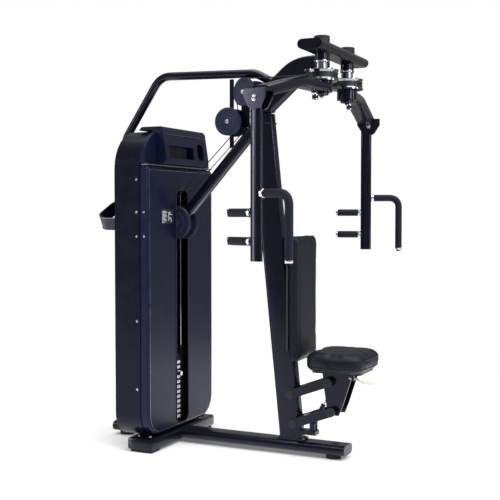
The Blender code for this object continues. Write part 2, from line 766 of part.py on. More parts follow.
def make_rollbar():
    rear = [
        (ROLLBAR_BACK, 0, RAIL_TOP + GAP),
        (ROLLBAR_BACK, 0, 1.590),
        (-0.972, 0, ROLLBAR_TOP),
        (-0.420, 0, 1.893),
        (-0.290, 0, 1.822),
    ]
    path = eased_path(rear, 0.11, steps=6)
    pipe = as_mesh(swept("roll_bar", path, black_paint(), radius=ROLLBAR_RADIUS, resolution=4))
    foot = 0.035
    low = (ROLLBAR_BACK - foot, -foot, RAIL_TOP + GAP)
    flange = box_mesh(low, (ROLLBAR_BACK + foot, foot, RAIL_TOP + 0.009))
    join(pipe, flange)
    cut(pipe, taken_mesh(gooseneck_tube("neck_cutter", GAP)))


def brace_point(x):
    """The brace's centre line."""
    return Vector((x, 0, 1.327 + (x + 0.69) * BRACE_SLOPE))


def make_brace():
    lower_x = TOWER_BACK + WALL + 0.004 + 0.040
    start, end = brace_point(lower_x), brace_point(-0.425)
    along = (end - start).normalized()
    half = BRACE_HALF
    section = rounded_box_outline((-half, -half), (half, half), (0.010,) * 4, 3)
    bm = prism_mesh(section, ALONG_Z, -0.06, (end - start).length + 0.08)
    turn = along.to_track_quat("Z", "Y").to_matrix().to_4x4()
    bmesh.ops.transform(bm, matrix=Matrix.Translation(start) @ turn, verts=bm.verts)
    brace = mesh_piece("brace", bm, black_paint(), smooth=30)
    # trimmed to the tower's rear cross member and to the back of the leaning column
    cut(brace, box_mesh((lower_x - 0.2, -0.1, 0.7), (lower_x + GAP, 0.1, 1.3)))
    column_back = prism_mesh(
        [(column_x(z) - (COLUMN_DEPTH / 2 + 2 * GAP) * (1 if near else -3), z) for z, near in
         ((1.40, True), (1.40, False), (1.70, False), (1.70, True))],
        ALONG_Y,
        -0.1,
        0.1,
    )
    cut(brace, column_back)
    reach = CABLE_Y + PULLEY_THICKNESS / 2 + 0.004
    x, z = PULLEY_TOWER
    join(brace, bar_mesh((x, -reach, z), (x, reach, z), AXLE_RADIUS, 14))


def make_pulley_hanger():
    """The upright plates between the brace and the roll bar, with the axles of the upper pulleys."""
    x, z = PULLEY_LOW
    roof = ROLLBAR_TOP - 0.018 - ROLLBAR_RADIUS
    half = BRACE_HALF * math.sqrt(1 + BRACE_SLOPE**2) + GAP * 2
    strap = 0.010
    low = brace_point(x + strap).z + half
    hanger = box("pulley_hanger", (x - strap, -0.005, low), (x + strap, 0.005, roof), black_paint())
    reach = CABLE_Y + PULLEY_THICKNESS / 2 + 0.004
    join(hanger, bar_mesh((x, -reach, z), (x, reach, z), AXLE_RADIUS, 14))
    front = column_x(COLUMN_TOP + 0.085) - COLUMN_DEPTH / 2 - 0.007
    plate = [
        (x + 0.005, z - 0.020),
        (front, brace_point(front).z + half),
        (front, roof - 0.001),
        (front - 0.045, roof - 0.001),
        (front - 0.045, ANGLED_Z - 0.080),
        (x + 0.005, z + 0.020),
    ]
    join(hanger, prism_mesh(plate, ALONG_Y, -0.004, 0.004))
    for side in (-1, 1):
        centre, normal, _ = angled_pulley(side)
        outside = normal if normal.y * side > 0 else -normal
        stem = centre - outside * (PULLEY_THICKNESS / 2 + 0.004)
        if side > 0:
            join(hanger, bar_mesh((stem.x, -stem.y, stem.z), stem, 0.010, 12))
        join(hanger, bar_mesh(stem - outside * 0.006, centre + outside * 0.015, AXLE_RADIUS, 14))
    return hanger


# ---------------------------------------------------------------- pulleys and cables

CABLE_OFFSET = CABLE_RADIUS + 0.001  # from a groove's floor to the cable's centre
TOWER_REACH = TOWER_PULLEY_RIM - GROOVE_DEPTH + CABLE_OFFSET
REACH = PULLEY_RIM - GROOVE_DEPTH + CABLE_OFFSET
DRUM_REACH = DRUM_GROOVE + CABLE_OFFSET
PULLEY_TOWER = (STACK_X + TOWER_REACH, 1.145)
PULLEY_LOW = (-0.554, 1.655)
ANGLED_X = -0.452
ANGLED_Y = 0.068
ANGLED_Z = 1.795
DRUM_Z = (ARM_TOP + DISC_TOP) / 2


def drum_tangent(side, target):
    """Where a cable that winds onto the outer side of the drum leaves it, towards `target`."""
    centre = Vector((0, side * PIVOT_Y, DRUM_Z))
    away = Vector((target.x - centre.x, target.y - centre.y, 0))
    along = away.normalized()
    across = Vector((-along.y, along.x, 0)) * -side
    lean = math.acos(DRUM_REACH / away.length)
    return centre + (along * math.cos(lean) + across * math.sin(lean)) * DRUM_REACH


def angled_pulley(side):
    """Centre, axis and forward direction of the upper pulley whose plane points at the drum on that side."""
    centre = Vector((ANGLED_X, side * ANGLED_Y, ANGLED_Z))
    forward = drum_tangent(side, centre) - centre
    forward.z = 0
    forward.normalize()
    return centre, Vector((-forward.y, forward.x, 0)), forward


def make_pulley(name, centre, axis, rim):
    """A nylon sheave with a V groove and a bored hub."""
    half = PULLEY_THICKNESS / 2
    bore = AXLE_RADIUS + RUN
    profile = [
        (rim, half),
        (rim - 0.0015, half - 0.0015),
        (rim - GROOVE_DEPTH, 0.003),
        (rim - GROOVE_DEPTH, -0.003),
        (rim - 0.0015, 0.0015 - half),
        (rim, -half),
        (rim - 0.014, -half),
        (rim - 0.018, 0.003 - half),
        (0.020, 0.003 - half),
        (0.017, -half),
        (bore, -half),
        (bore, half),
        (0.017, half),
        (0.020, half - 0.003),
        (rim - 0.018, half - 0.003),
        (rim - 0.014, half),
    ]
    return turned(name, profile, centre, axis, nylon(), steps=24)


def make_pulleys():
    for side, tag in ((-1, "right"), (1, "left")):
        y = side * CABLE_Y
        make_pulley("tower_pulley_" + tag, (PULLEY_TOWER[0], y, PULLEY_TOWER[1]), (0, 1, 0), TOWER_PULLEY_RIM)
        make_pulley("brace_pulley_" + tag, (PULLEY_LOW[0], y, PULLEY_LOW[1]), (0, 1, 0), PULLEY_RIM)
        centre, normal, _ = angled_pulley(side)
        make_pulley("angled_pulley_" + tag, centre, normal, PULLEY_RIM)


def around(centre, forward, radius, start, end, steps):
    """Points round a pulley: angles in degrees, 0 towards `forward`, 90 upwards."""
    path = []
    for i in range(steps + 1):
        turn = math.radians(start + (end - start) * i / steps)
        path.append(centre + forward * (radius * math.cos(turn)) + Vector((0, 0, radius * math.sin(turn))))
    return path


def make_cables():
    """One cable for each arm, from its drum over the pulleys, then down to the yoke on the stack's head."""
    steel = finish("coated_cable", (0.02, 0.02, 0.022), 0.4)
    for side, tag in ((-1, "right"), (1, "left")):
        centre, _, forward = angled_pulley(side)
        low = Vector((PULLEY_LOW[0], side * CABLE_Y, PULLEY_LOW[1]))
        tower = Vector((PULLEY_TOWER[0], side * CABLE_Y, PULLEY_TOWER[1]))
        # the drop between the two upper pulleys slants a little forward
        gap = (low.x + REACH) - (centre.x - REACH * forward.x)
        slant = math.degrees(math.atan(gap / (centre.z - low.z)))
        # the run to the housing is the crossed tangent of the two lower pulleys
        between = low - tower
        spread = math.degrees(math.asin((REACH + TOWER_REACH) / between.length))
        rise = math.degrees(math.atan2(between.z, between.x)) - spread
        top = centre + Vector((0, 0, REACH))
        dip = math.degrees(math.atan((ANGLED_Z + REACH - DRUM_Z) / (drum_tangent(side, centre) - top).length))
        path = [drum_tangent(side, centre)]
        path += around(centre, forward, REACH, 90 - dip, 180 + slant, 7)
        path += around(low, Vector((1, 0, 0)), REACH, slant, rise - 90, 4)
        path += around(tower, Vector((1, 0, 0)), TOWER_REACH, 90 + rise, 180, 4)
        swept("cable_" + tag, path, steel, radius=CABLE_RADIUS, resolution=1)
        bar(
            "cable_drop_" + tag,
            (STACK_X, side * CABLE_Y, YOKE_TOP + GAP),
            (STACK_X, side * CABLE_Y, PULLEY_TOWER[1] - GAP),
            CABLE_RADIUS,
            steel,
            at=(STACK_X, side * CABLE_Y, PULLEY_TOWER[1] - GAP),
            sides=8,
        )


# ---------------------------------------------------------------- arms


def arm_frame(side):
    """Unit vectors of the hand plane: forwards and outwards, turned out by the toe angle."""
    forward = Vector((math.cos(TOE_OUT), side * math.sin(TOE_OUT), 0))
    outward = Vector((-math.sin(TOE_OUT), side * math.cos(TOE_OUT), 0))
    return forward, outward


def hole_angle(side, step):
    """Direction from a pivot to a start-position hole, stepped forward from the resting arm."""
    rest = math.atan2(side * (POST_Y - PIVOT_Y), POST_X)
    return rest - side * math.radians(step * PIN_PITCH)


def pin_place(side, step, z):
    turn = hole_angle(side, step)
    return Vector((PIN_CIRCLE * math.cos(turn), side * PIVOT_Y + PIN_CIRCLE * math.sin(turn), z))


def make_pivot(side, tag):
    """The shaft with its cable spool, whose lower flange is drilled for the start-position pin."""
    place = (0, side * PIVOT_Y, DISC_TOP)
    low = ARM_TOP + GAP - DISC_TOP
    flange = low + DISC_THICKNESS
    middle = (flange - 0.003) / 2
    shoulder = HOUSING_BOTTOM - RUN - DISC_TOP
    profile = [
        (0.0, 1.988 - DISC_TOP),
        (SHAFT_RADIUS, 1.988 - DISC_TOP),
        (SHAFT_RADIUS, shoulder),
        (0.029, shoulder),
        (0.029, 0.0),
        (DISC_RADIUS, 0.0),
        (DISC_RADIUS, -0.003),
        (DISC_RADIUS - 0.002, -0.003),
        (DRUM_GROOVE, middle + 0.005),
        (DRUM_GROOVE, middle - 0.005),
        (DISC_RADIUS - 0.002, flange),
        (DISC_RADIUS, flange),
        (DISC_RADIUS, low),
        (0.0, low),
    ]
    disc = turned("pivot_disc_" + tag, profile, place, (0, 0, 1), chrome(), steps=32)
    for step in range(-2, 5):
        base = pin_place(side, step, ARM_TOP - 0.01)
        cut(disc, bar_mesh(base, base + Vector((0, 0, 0.0175)), 0.0062, 10))
    return disc


def make_arm(side, tag):
    y = side * PIVOT_Y
    pivot = Vector((0, y, 0))
    post = Vector((POST_X, side * POST_Y, 0))
    along = (post - pivot).normalized()
    centre_z = ARM_TOP - ARM_THICKNESS / 2
    inner = pivot - along * 0.002 + Vector((0, 0, centre_z))
    reach = (post - pivot).length
    bend = pivot + along * 0.22 + Vector((0, 0, centre_z))
    end = pivot + along * (reach - 0.030) + Vector((0, 0, centre_z - ARM_DROP))
    path = eased_path([inner, bend, end], 0.25, steps=4)
    section = flat_oval(ARM_WIDTH, ARM_THICKNESS, steps=3)
    arm = as_mesh(swept("arm_" + tag, path, black_paint(), at=(0, y, ARM_TOP), section=section))
    join(arm, bar_mesh((0, y, ARM_TOP - ARM_THICKNESS), (0, y, ARM_TOP - 0.0005), ARM_WIDTH / 2, 24))

    # yoke: a half-round bracket below the arm's end, with two cheeks across the hand plane
    forward, outward = arm_frame(side)
    top = Vector((post.x, post.y, YOKE_PIN_Z)) + forward * PIN_FORWARD
    frame = Matrix.Identity(4)
    for i in range(3):
        frame[i][0], frame[i][1], frame[i][2] = forward[i], outward[i], (0, 0, 1)[i]
        frame[i][3] = top[i]
    cheek_half = POST_WIDTH / 2 + 0.003
    outline = arc((0, 0), 0.048, 200, 340, 8)
    outline += [(0.062, 0.010), (0.062, 0.042), (-0.062, 0.042), (-0.062, 0.010)]
    for low, high in ((cheek_half, cheek_half + 0.008), (-cheek_half - 0.008, -cheek_half)):
        cheek = prism_mesh(outline, ALONG_Y, low, high)
        bmesh.ops.transform(cheek, matrix=frame, verts=cheek.verts)
        join(arm, cheek)
    plate = box_mesh((-0.060, -cheek_half - 0.006, 0.026), (0.060, cheek_half + 0.006, 0.0415))
    bmesh.ops.transform(plate, matrix=frame, verts=plate.verts)
    join(arm, plate)
    join(arm, bar_mesh(top - outward * (cheek_half + 0.012), top + outward * (cheek_half + 0.012), 0.006, 12))
    # bore for the start-position pin, through a boss below the arm
    place = pin_place(side, 0, 0)
    low = ARM_TOP - ARM_THICKNESS - PIN_BOSS
    join(arm, bar_mesh(place + Vector((0, 0, low)), place + Vector((0, 0, ARM_TOP - 0.02)), 0.013, 14))
    cut(arm, bar_mesh(place + Vector((0, 0, low - 0.01)), place + Vector((0, 0, ARM_TOP + 0.01)), 0.0062, 10))


def make_pull_pin(side, tag):
    """The pull pin below the arm, drawn down: its tip stands just under one of the spool's holes."""
    knob = ARM_TOP - ARM_THICKNESS - PIN_BOSS - PIN_TRAVEL - RUN
    place = pin_place(side, 0, knob)
    tip = pin_place(side, 0, ARM_TOP - RUN)
    pin = bar("pull_pin_" + tag, place - Vector((0, 0, 0.006)), tip, 0.005, chrome(), at=place, sides=10)
    join(pin, bar_mesh(place - Vector((0, 0, 0.023)), place, 0.014, 14))


def make_handle(side, tag):
    """The hanging post with its welded handle tubes, and the rubber sleeves on them."""
    forward, outward = arm_frame(side)
    post = Vector((POST_X, side * POST_Y, 0))
    up = Vector((0, 0, 1))
    place = Vector((post.x, post.y, YOKE_PIN_Z)) + forward * PIN_FORWARD
    section = flat_oval(POST_DEPTH, POST_WIDTH, steps=4)
    bm = prism_mesh(section, ALONG_Z, POST_BOTTOM, YOKE_PIN_Z + 0.018)
    frame = Matrix.Identity(4)
    for i in range(3):
        frame[i][0], frame[i][1] = forward[i], outward[i]
        frame[i][3] = post[i]
    bmesh.ops.transform(bm, matrix=frame, verts=bm.verts)
    handle = mesh_piece("handle_post_" + tag, bm, black_paint(), place, smooth=30)
    for z in REAR_GRIP_HEIGHTS:
        start = post + up * z - forward * 0.01
        join(handle, bar_mesh(start, post + up * z - forward * REAR_GRIP_REACH, HANDLE_TUBE_RADIUS, 14))
    corner = post + up * PEC_GRIP_Z + forward * PEC_GRIP_REACH
    end = post + up * PEC_GRIP_BOTTOM + forward * PEC_GRIP_REACH
    route = eased_path([post + up * PEC_GRIP_Z, corner, end], 0.055, steps=5)
    tube = as_mesh(swept("handle_tube", route, None, radius=HANDLE_TUBE_RADIUS, resolution=4))
    join(handle, taken_mesh(tube))
    cut(handle, bar_mesh(place - outward * 0.05, place + outward * 0.05, 0.007, 14))

    start = POST_DEPTH / 2 + 0.014
    inner = HANDLE_TUBE_RADIUS + GAP
    for z, level in zip(REAR_GRIP_HEIGHTS, ("upper", "lower")):
        near = post + up * z - forward * start
        length = REAR_GRIP_REACH - start - 0.008
        sleeve = [(GRIP_RADIUS, length), (GRIP_RADIUS, 0), (inner, 0), (inner, length)]
        turned(f"rear_grip_{level}_{tag}", sleeve, near, -forward, rubber(), steps=16)
    sleeve_route = [route[0] + forward * start] + route[1:-1] + [route[-1] + up * 0.012]
    grip = as_mesh(swept("pec_grip_" + tag, sleeve_route, rubber(), radius=GRIP_RADIUS, resolution=3))
    bore_route = [route[0]] + route[1:-1] + [route[-1] - up * 0.02]
    bore = as_mesh(swept("bore", bore_route, None, radius=HANDLE_TUBE_RADIUS + 0.0008, resolution=5))
    cut(grip, taken_mesh(bore))


# ---------------------------------------------------------------- seat and back pad


def make_back_pad():
    front = BACK_PAD_BACK + BACK_PAD_THICKNESS
    half = BACK_PAD_HALF_WIDTH
    top = BACK_PAD_BOTTOM + BACK_PAD_HEIGHT
    face = rounded_box_outline((-half, BACK_PAD_BOTTOM), (half, top), (0.018, 0.030, 0.030, 0.018), 4)
    pad = prism("back_pad", face, ALONG_X, BACK_PAD_BACK, front, vinyl())
    round_edges(pad, 0.010, 2, 60)
    # the board starts above the height where the leaning column still stands in its way
    back = BACK_PAD_BACK - BOARD
    column_front = column_x(RAIL_TOP) + COLUMN_DEPTH / 2 + RUN
    low = max(BACK_PAD_BOTTOM + 0.02, RAIL_TOP + (column_front - back) / COLUMN_LEAN)
    board = rounded_box_outline((0.02 - half, low), (half - 0.02, top - 0.02), (0.010,) * 4, 2)
    prism("back_board", board, ALONG_X, back, BACK_PAD_BACK - GAP, finish("board", (0.02, 0.02, 0.02), 0.8))


def seat_pivots():
    lower = Vector((LOWER_PIVOT[0] + LINK_SPAN[0], 0, LOWER_PIVOT[1] + LINK_SPAN[1]))
    upper = lower + Vector((LINK_RISE[0], 0, LINK_RISE[1]))
    return lower, upper


def make_link(name, start):
    """A seat link: two cheeks outside the pivot tubes, tied by a plate."""
    start = Vector((start[0], 0, start[1]))
    end = start + Vector((LINK_SPAN[0], 0, LINK_SPAN[1]))
    along = (end - start).normalized()
    length = (end - start).length
    half = LINK_HEIGHT / 2
    outline = arc((length, 0), half, -90, 90, 8) + arc((0, 0), half, 90, 270, 8)
    frame = Matrix.Identity(4)
    normal = Vector((-along.z, 0, along.x))
    for i in range(3):
        frame[i][0], frame[i][1], frame[i][2], frame[i][3] = along[i], (0, 1, 0)[i], normal[i], start[i]
    link = None
    for low, high in ((-LINK_Y, LINK_WALL - LINK_Y), (LINK_Y - LINK_WALL, LINK_Y)):
        bm = prism_mesh(outline, ALONG_Y, low, high)
        bmesh.ops.transform(bm, matrix=frame, verts=bm.verts)
        link = join(link, bm) if link else mesh_piece(name, bm, black_paint(), start, smooth=30)
    tie = box_mesh((0.040, -LINK_Y + 0.002, half - 0.010), (0.068, LINK_Y - 0.002, half - 0.002))
    bmesh.ops.transform(tie, matrix=frame, verts=tie.verts)
    return join(link, tie)


def make_seat():
    lower, upper = seat_pivots()
    make_link("lower_link", LOWER_PIVOT)
    make_link("upper_link", (LOWER_PIVOT[0] + LINK_RISE[0], LOWER_PIVOT[1] + LINK_RISE[1]))

    # carriage: two tapered cheeks, the two pivot tubes between the links, and a top plate
    plate_top = SEAT_BOTTOM - GAP
    inner = 0.040
    outer = 0.048
    outline = [
        (lower.x - 0.026, lower.z - 0.020),
        (lower.x + 0.030, lower.z - 0.020),
        (lower.x + 0.050, lower.z + 0.030),
        (lower.x + 0.105, plate_top - 0.002),
        (upper.x - 0.040, plate_top - 0.002),
        (upper.x - 0.030, upper.z - 0.030),
    ]
    carriage = prism("seat_carriage", outline, ALONG_Y, -outer, -inner, black_paint(), at=lower)
    join(carriage, prism_mesh(outline, ALONG_Y, inner, outer))
    half = LINK_Y - LINK_WALL - RUN
    for x, z in ((lower.x, lower.z), (upper.x, upper.z)):
        join(carriage, bar_mesh((x, -half, z), (x, half, z), 0.019, 18))
    join(carriage, bar_mesh((GAS_HEAD[0], -0.045, GAS_HEAD[1]), (GAS_HEAD[0], 0.045, GAS_HEAD[1]), 0.005, 10))
    top = rounded_box_outline((-0.075, -0.110), (0.170, 0.110), (0.020,) * 4, 3)
    join(carriage, prism_mesh(top, ALONG_Z, plate_top - 0.010, plate_top))

    seat_front = SEAT_X + SEAT_LENGTH / 2
    seat_back = SEAT_X - SEAT_LENGTH / 2
    half_width = SEAT_HALF_WIDTH
    plan = [
        (seat_back, -half_width * 0.62),
        (seat_back + 0.030, -half_width * 0.88),
        (SEAT_X - 0.040, -half_width),
        (SEAT_X + 0.055, -half_width),
        (seat_front - 0.045, -half_width * 0.92),
        (seat_front, -half_width * 0.60),
    ]
    plan = plan + [(x, -y) for x, y in plan[::-1]]
    for _ in range(2):
        # each corner is cut a quarter of the way along both of its sides
        pairs = list(zip(plan, plan[1:] + plan[:1]))
        plan = [
            (a[0] + (b[0] - a[0]) * t, a[1] + (b[1] - a[1]) * t) for a, b in pairs for t in (0.25, 0.75)
        ]
    seat = prism("seat_pad", plan, ALONG_Z, SEAT_BOTTOM, SEAT_BOTTOM + SEAT_THICKNESS, vinyl())
    round_edges(seat, 0.022, 2, 60)

    # release lever: a bent rod in a lug below the top plate, and a flat paddle at the user's right hand
    hub = Vector((SEAT_X + 0.070, -0.060, plate_top - 0.032))
    low = hub - Vector((0.006, 0.010, 0.010))
    join(carriage, box_mesh(low, (hub.x + 0.006, hub.y + 0.010, plate_top - 0.005)))
    cut(carriage, bar_mesh(hub - Vector((0.02, 0, 0)), hub + Vector((0.02, 0, 0)), 0.0045 + RUN, 10))
    bends = ((-0.020, 0, 0), (0.020, 0, 0), (0.040, -0.040, 0), (0.070, -0.062, -0.002))
    route = eased_path([hub + Vector(bend) for bend in bends], 0.016, 3)
    ivory = finish("ivory_plastic", (0.62, 0.62, 0.56), 0.4)
    lever = as_mesh(swept("release_lever", route, ivory, at=hub, radius=0.0045, resolution=2))
    paddle = rounded_box_outline((-0.005, -0.017), (0.075, 0.017), (0.014,) * 4, 3)
    bm = prism_mesh(paddle, ALONG_Z, -0.006, 0.006)
    turn = Matrix.Translation(route[-1]) @ Matrix.Rotation(-0.25, 4, "Z")
    bmesh.ops.transform(bm, matrix=turn, verts=bm.verts)
    join(lever, bm)

    # gas spring between the column's lug and the carriage
    foot = Vector((GAS_FOOT[0], 0, GAS_FOOT[1]))
    head = Vector((GAS_HEAD[0], 0, GAS_HEAD[1]))
    along = (head - foot).normalized()
    mouth = foot + along * GAS_CYLINDER
    cylinder = bar("gas_cylinder", foot + along * 0.004, mouth, 0.0115, black_paint(), at=foot, sides=16)
    join(cylinder, bar_mesh(foot - Vector((0, 0.009, 0)), foot + Vector((0, 0.009, 0)), 0.0115, 16))
    cut(cylinder, bar_mesh(foot - Vector((0, 0.02, 0)), foot + Vector((0, 0.02, 0)), 0.005 + RUN, 12))
    cut(cylinder, bar_mesh(mouth - along * (GAS_CYLINDER - 0.020), mouth + along * 0.01, 0.0080, 12))
    rod_start = mouth - along * (GAS_CYLINDER - 0.088)
    rod = bar("gas_rod", rod_start, head - along * 0.004, 0.005, chrome(), at=head, sides=12)
    join(rod, bar_mesh(head - Vector((0, 0.009, 0)), head + Vector((0, 0.009, 0)), 0.0115, 16))
    cut(rod, bar_mesh(head - Vector((0, 0.02, 0)), head + Vector((0, 0.02, 0)), 0.005 + RUN, 12))


# ---------------------------------------------------------------- accessory hoop


def make_hoop():
    """A flat-bar hoop on the back of the housing, tilted down towards the user's right."""
    thickness = 0.006
    half = 0.115
    depth = 0.140
    radius = 0.070
    back = TOWER_BACK - GAP
    outer = arc((-depth + radius, -half + radius), radius, 270, 180, 5) + arc(
        (-depth + radius, half - radius), radius, 180, 90, 5
    )
    inner = arc((-depth + radius, -half + radius), radius - thickness, 270, 180, 5) + arc(
        (-depth + radius, half - radius), radius - thickness, 180, 90, 5
    )
    outline = (
        [(0, -half)] + outer + [(0, half), (0, half - thickness)] + inner[::-1] + [(0, thickness - half)]
    )
    bm = prism_mesh(outline, ALONG_Z, -0.034, 0.034)
    place = Matrix.Translation((back, -0.200, 1.190)) @ Matrix.Rotation(math.radians(26), 4, "X")
    bmesh.ops.transform(bm, matrix=place, verts=bm.verts)
    mesh_piece("accessory_hoop", bm, black_paint(), smooth=40)


# ---------------------------------------------------------------- assembly


def main():
    clear_scene()
    make_base()
    make_housing()
    make_console()
    make_tower_frame()
    make_stack()
    make_column()
    make_gooseneck()
    make_crossbar()
    make_rollbar()
    make_brace()
    make_pulley_hanger()
    make_pulleys()
    make_cables()
    for side, tag in ((-1, "right"), (1, "left")):
        make_pivot(side, tag)
        make_arm(side, tag)
        make_pull_pin(side, tag)
        make_handle(side, tag)
    make_back_pad()
    make_seat()
    make_hoop()


main()
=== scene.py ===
"""The finished look of a pec deck machine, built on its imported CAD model."""

import json
import math

import bpy
import numpy as np
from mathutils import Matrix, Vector


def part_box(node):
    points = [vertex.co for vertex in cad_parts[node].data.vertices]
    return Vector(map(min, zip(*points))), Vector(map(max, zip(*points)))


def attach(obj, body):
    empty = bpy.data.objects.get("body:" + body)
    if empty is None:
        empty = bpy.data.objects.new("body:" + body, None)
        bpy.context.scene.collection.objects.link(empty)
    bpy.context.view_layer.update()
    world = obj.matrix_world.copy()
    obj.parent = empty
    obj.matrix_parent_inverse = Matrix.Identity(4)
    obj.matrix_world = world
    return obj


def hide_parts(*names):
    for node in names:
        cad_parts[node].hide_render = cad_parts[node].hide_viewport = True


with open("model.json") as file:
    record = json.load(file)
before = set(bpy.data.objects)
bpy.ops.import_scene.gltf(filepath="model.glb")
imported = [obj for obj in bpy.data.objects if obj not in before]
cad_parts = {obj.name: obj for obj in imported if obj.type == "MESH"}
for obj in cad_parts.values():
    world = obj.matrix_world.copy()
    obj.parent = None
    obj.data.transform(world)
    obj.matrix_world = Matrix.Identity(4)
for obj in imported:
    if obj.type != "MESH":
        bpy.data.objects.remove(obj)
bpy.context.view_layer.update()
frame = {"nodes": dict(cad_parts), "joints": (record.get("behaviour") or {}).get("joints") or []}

# ---------------------------------------------------------------- studio
# A white floor and backdrop with large soft lights, so that the dark gloss steel shows long pale highlights
# along its tubes and stays dark between them.


def linear(code):
    """The linear colour of an sRGB hex code."""
    parts = [int(code[i : i + 2], 16) / 255 for i in (0, 2, 4)]
    return tuple(c / 12.92 if c <= 0.04045 else ((c + 0.055) / 1.055) ** 2.4 for c in parts)


def add(tree, kind, inputs=(), **settings):
    """Adds a shader node; each input is a value, or another node's output to link."""
    node = tree.nodes.new("ShaderNode" + kind)
    for key, value in settings.items():
        setattr(node, key, value)
    for key, value in dict(inputs).items():
        if isinstance(value, bpy.types.NodeSocket):
            tree.links.new(value, node.inputs[key])
        else:
            node.inputs[key].default_value = value
    return node


def plain(name, code, roughness):
    """A stage finish: one colour with a faint reflection, lit a little from below."""
    material = bpy.data.materials.new(name)
    material.use_nodes = True
    shader = material.node_tree.nodes["Principled BSDF"]
    shader.inputs["Base Color"].default_value = (*linear(code), 1)
    shader.inputs["Roughness"].default_value = roughness
    shader.inputs["Specular IOR Level"].default_value = 0.16
    shader.inputs["Emission Color"].default_value = (1, 1, 1, 1)
    shader.inputs["Emission Strength"].default_value = 0.10
    return material


def panel(name, corners, material):
    """A flat stage surface."""
    mesh = bpy.data.meshes.new(name)
    mesh.from_pydata(corners, [], [(0, 1, 2, 3)])
    mesh.materials.append(material)
    item = bpy.data.objects.new(name, mesh)
    bpy.context.scene.collection.objects.link(item)
    return item


def softbox(name, place, target, size, power):
    """A rectangular lamp at a place, turned to a target."""
    light = bpy.data.lights.new(name, "AREA")
    light.shape = "RECTANGLE"
    light.size, light.size_y = size
    light.energy = power
    item = bpy.data.objects.new(name, light)
    item.location = place
    item.rotation_euler = (Vector(target) - Vector(place)).to_track_quat("-Z", "Y").to_euler()
    bpy.context.scene.collection.objects.link(item)
    return item


camera = bpy.data.cameras.new("camera")
camera.sensor_width = 36.0
camera.lens = 67.7
view = bpy.data.objects.new("camera", camera)
view.location = (1.585, -4.29, 1.20)
view.rotation_euler = (math.radians(90 - 2.31), 0, math.radians(25.4))
bpy.context.scene.collection.objects.link(view)
bpy.context.scene.camera = view

panel("floor", [(-5, -5, 0), (4, -5, 0), (4, 2.6, 0), (-5, 2.6, 0)], plain("studio_floor", "f4f4f5", 0.13))
world = bpy.data.worlds.new("studio")
world.use_nodes = True
sky = world.node_tree
seen = add(sky, "LightPath").outputs["Is Camera Ray"]
level = add(sky, "MapRange", {0: seen, 1: 0.0, 2: 1.0, 3: 0.26, 4: 1.0}).outputs[0]
sky.nodes["Background"].inputs["Color"].default_value = (1.0, 1.0, 1.0, 1)
sky.links.new(level, sky.nodes["Background"].inputs["Strength"])
bpy.context.scene.world = world
bpy.context.scene.view_settings.view_transform = "Standard"
softbox("overhead", (-0.4, 0.1, 4.6), (-0.5, 0, 0), (4.0, 3.6), 60)
dome = bpy.data.lights.new("dome", "SUN")
dome.energy = 3.7
dome.angle = math.radians(75)
dome_light = bpy.data.objects.new("dome", dome)
dome_light.rotation_euler = (math.radians(12), math.radians(14), 0)
bpy.context.scene.collection.objects.link(dome_light)
softbox("key", (3.0, -1.2, 3.0), (-0.4, 0, 0.9), (1.0, 2.0), 60)
softbox("left_strip", (-3.6, -2.4, 1.6), (-0.8, 0, 1.0), (0.35, 2.8), 42)
softbox("right_strip", (3.6, 0.6, 1.4), (0, 0, 1.0), (0.3, 2.4), 26)

# ---------------------------------------------------------------- base and feet
# Flat-oval steel rails and a cross foot on rubber feet carry everything. Their cut ends are closed with domed
# plugs, a small plug closes a hole ahead of the column, and bolts and a weld hold the column's foot plate.


def surface(
    name, code, roughness, metallic=0.0, coat=0.0, grain=1.6, relief=0.01, tone=0.12, edge=0.0012, cells=False,
    sheen="ffffff"
):
    """A finish with a fine relief `grain` mm across and `relief` mm deep, and a tone that drifts over 90 mm.

    The edge, in metres, rounds the shading of sharp corners; cells gives the relief a leather's pebbles. The
    sheen is the tint of the surface's own reflection.
    """
    material = bpy.data.materials.new(name)
    material.use_nodes = True
    tree = material.node_tree
    shader = tree.nodes["Principled BSDF"]
    place = add(tree, "TexCoord").outputs["Object"]
    broad = add(tree, "TexNoise", {"Vector": place, "Scale": 1000 / 90, "Detail": 4.0}).outputs["Fac"]
    drift = add(tree, "MapRange", {0: broad, 1: 0.3, 2: 0.7, 3: 1 - tone, 4: 1 + tone}).outputs[0]
    shade = add(tree, "VectorMath", {0: linear(code), 1: drift}, operation="MULTIPLY").outputs[0]
    spread = {0: broad, 1: 0.3, 2: 0.7, 3: roughness * 0.85, 4: roughness * 1.15}
    rough = add(tree, "MapRange", spread).outputs[0]
    if cells:
        fine = add(tree, "TexVoronoi", {"Vector": place, "Scale": 1000 / grain}, feature="SMOOTH_F1").outputs[
            "Distance"
        ]
    else:
        fine = add(tree, "TexNoise", {"Vector": place, "Scale": 1000 / grain, "Detail": 2.0}).outputs["Fac"]
    bump = {"Height": fine, "Distance": relief / 1000, "Strength": 1.0}
    if edge:
        bump["Normal"] = add(tree, "Bevel", {"Radius": edge}, samples=3).outputs[0]
    tree.links.new(add(tree, "Bump", bump).outputs[0], shader.inputs["Normal"])
    tree.links.new(shade, shader.inputs["Base Color"])
    tree.links.new(rough, shader.inputs["Roughness"])
    shader.inputs["Metallic"].default_value = metallic
    if not metallic:
        shader.inputs["Specular Tint"].default_value = (*linear(sheen), 1)
    shader.inputs["Coat Weight"].default_value = coat
    shader.inputs["Coat Roughness"].default_value = 0.08
    return material


# Gloss powder coat, sprayed and baked: near black with a faint blue, and a thin clear gloss with orange peel.
powder = surface(
    "gloss_powder_coated_steel", "0b0b14", 0.20, coat=0.12, grain=1.4, relief=0.006, sheen="a0a2c4"
)
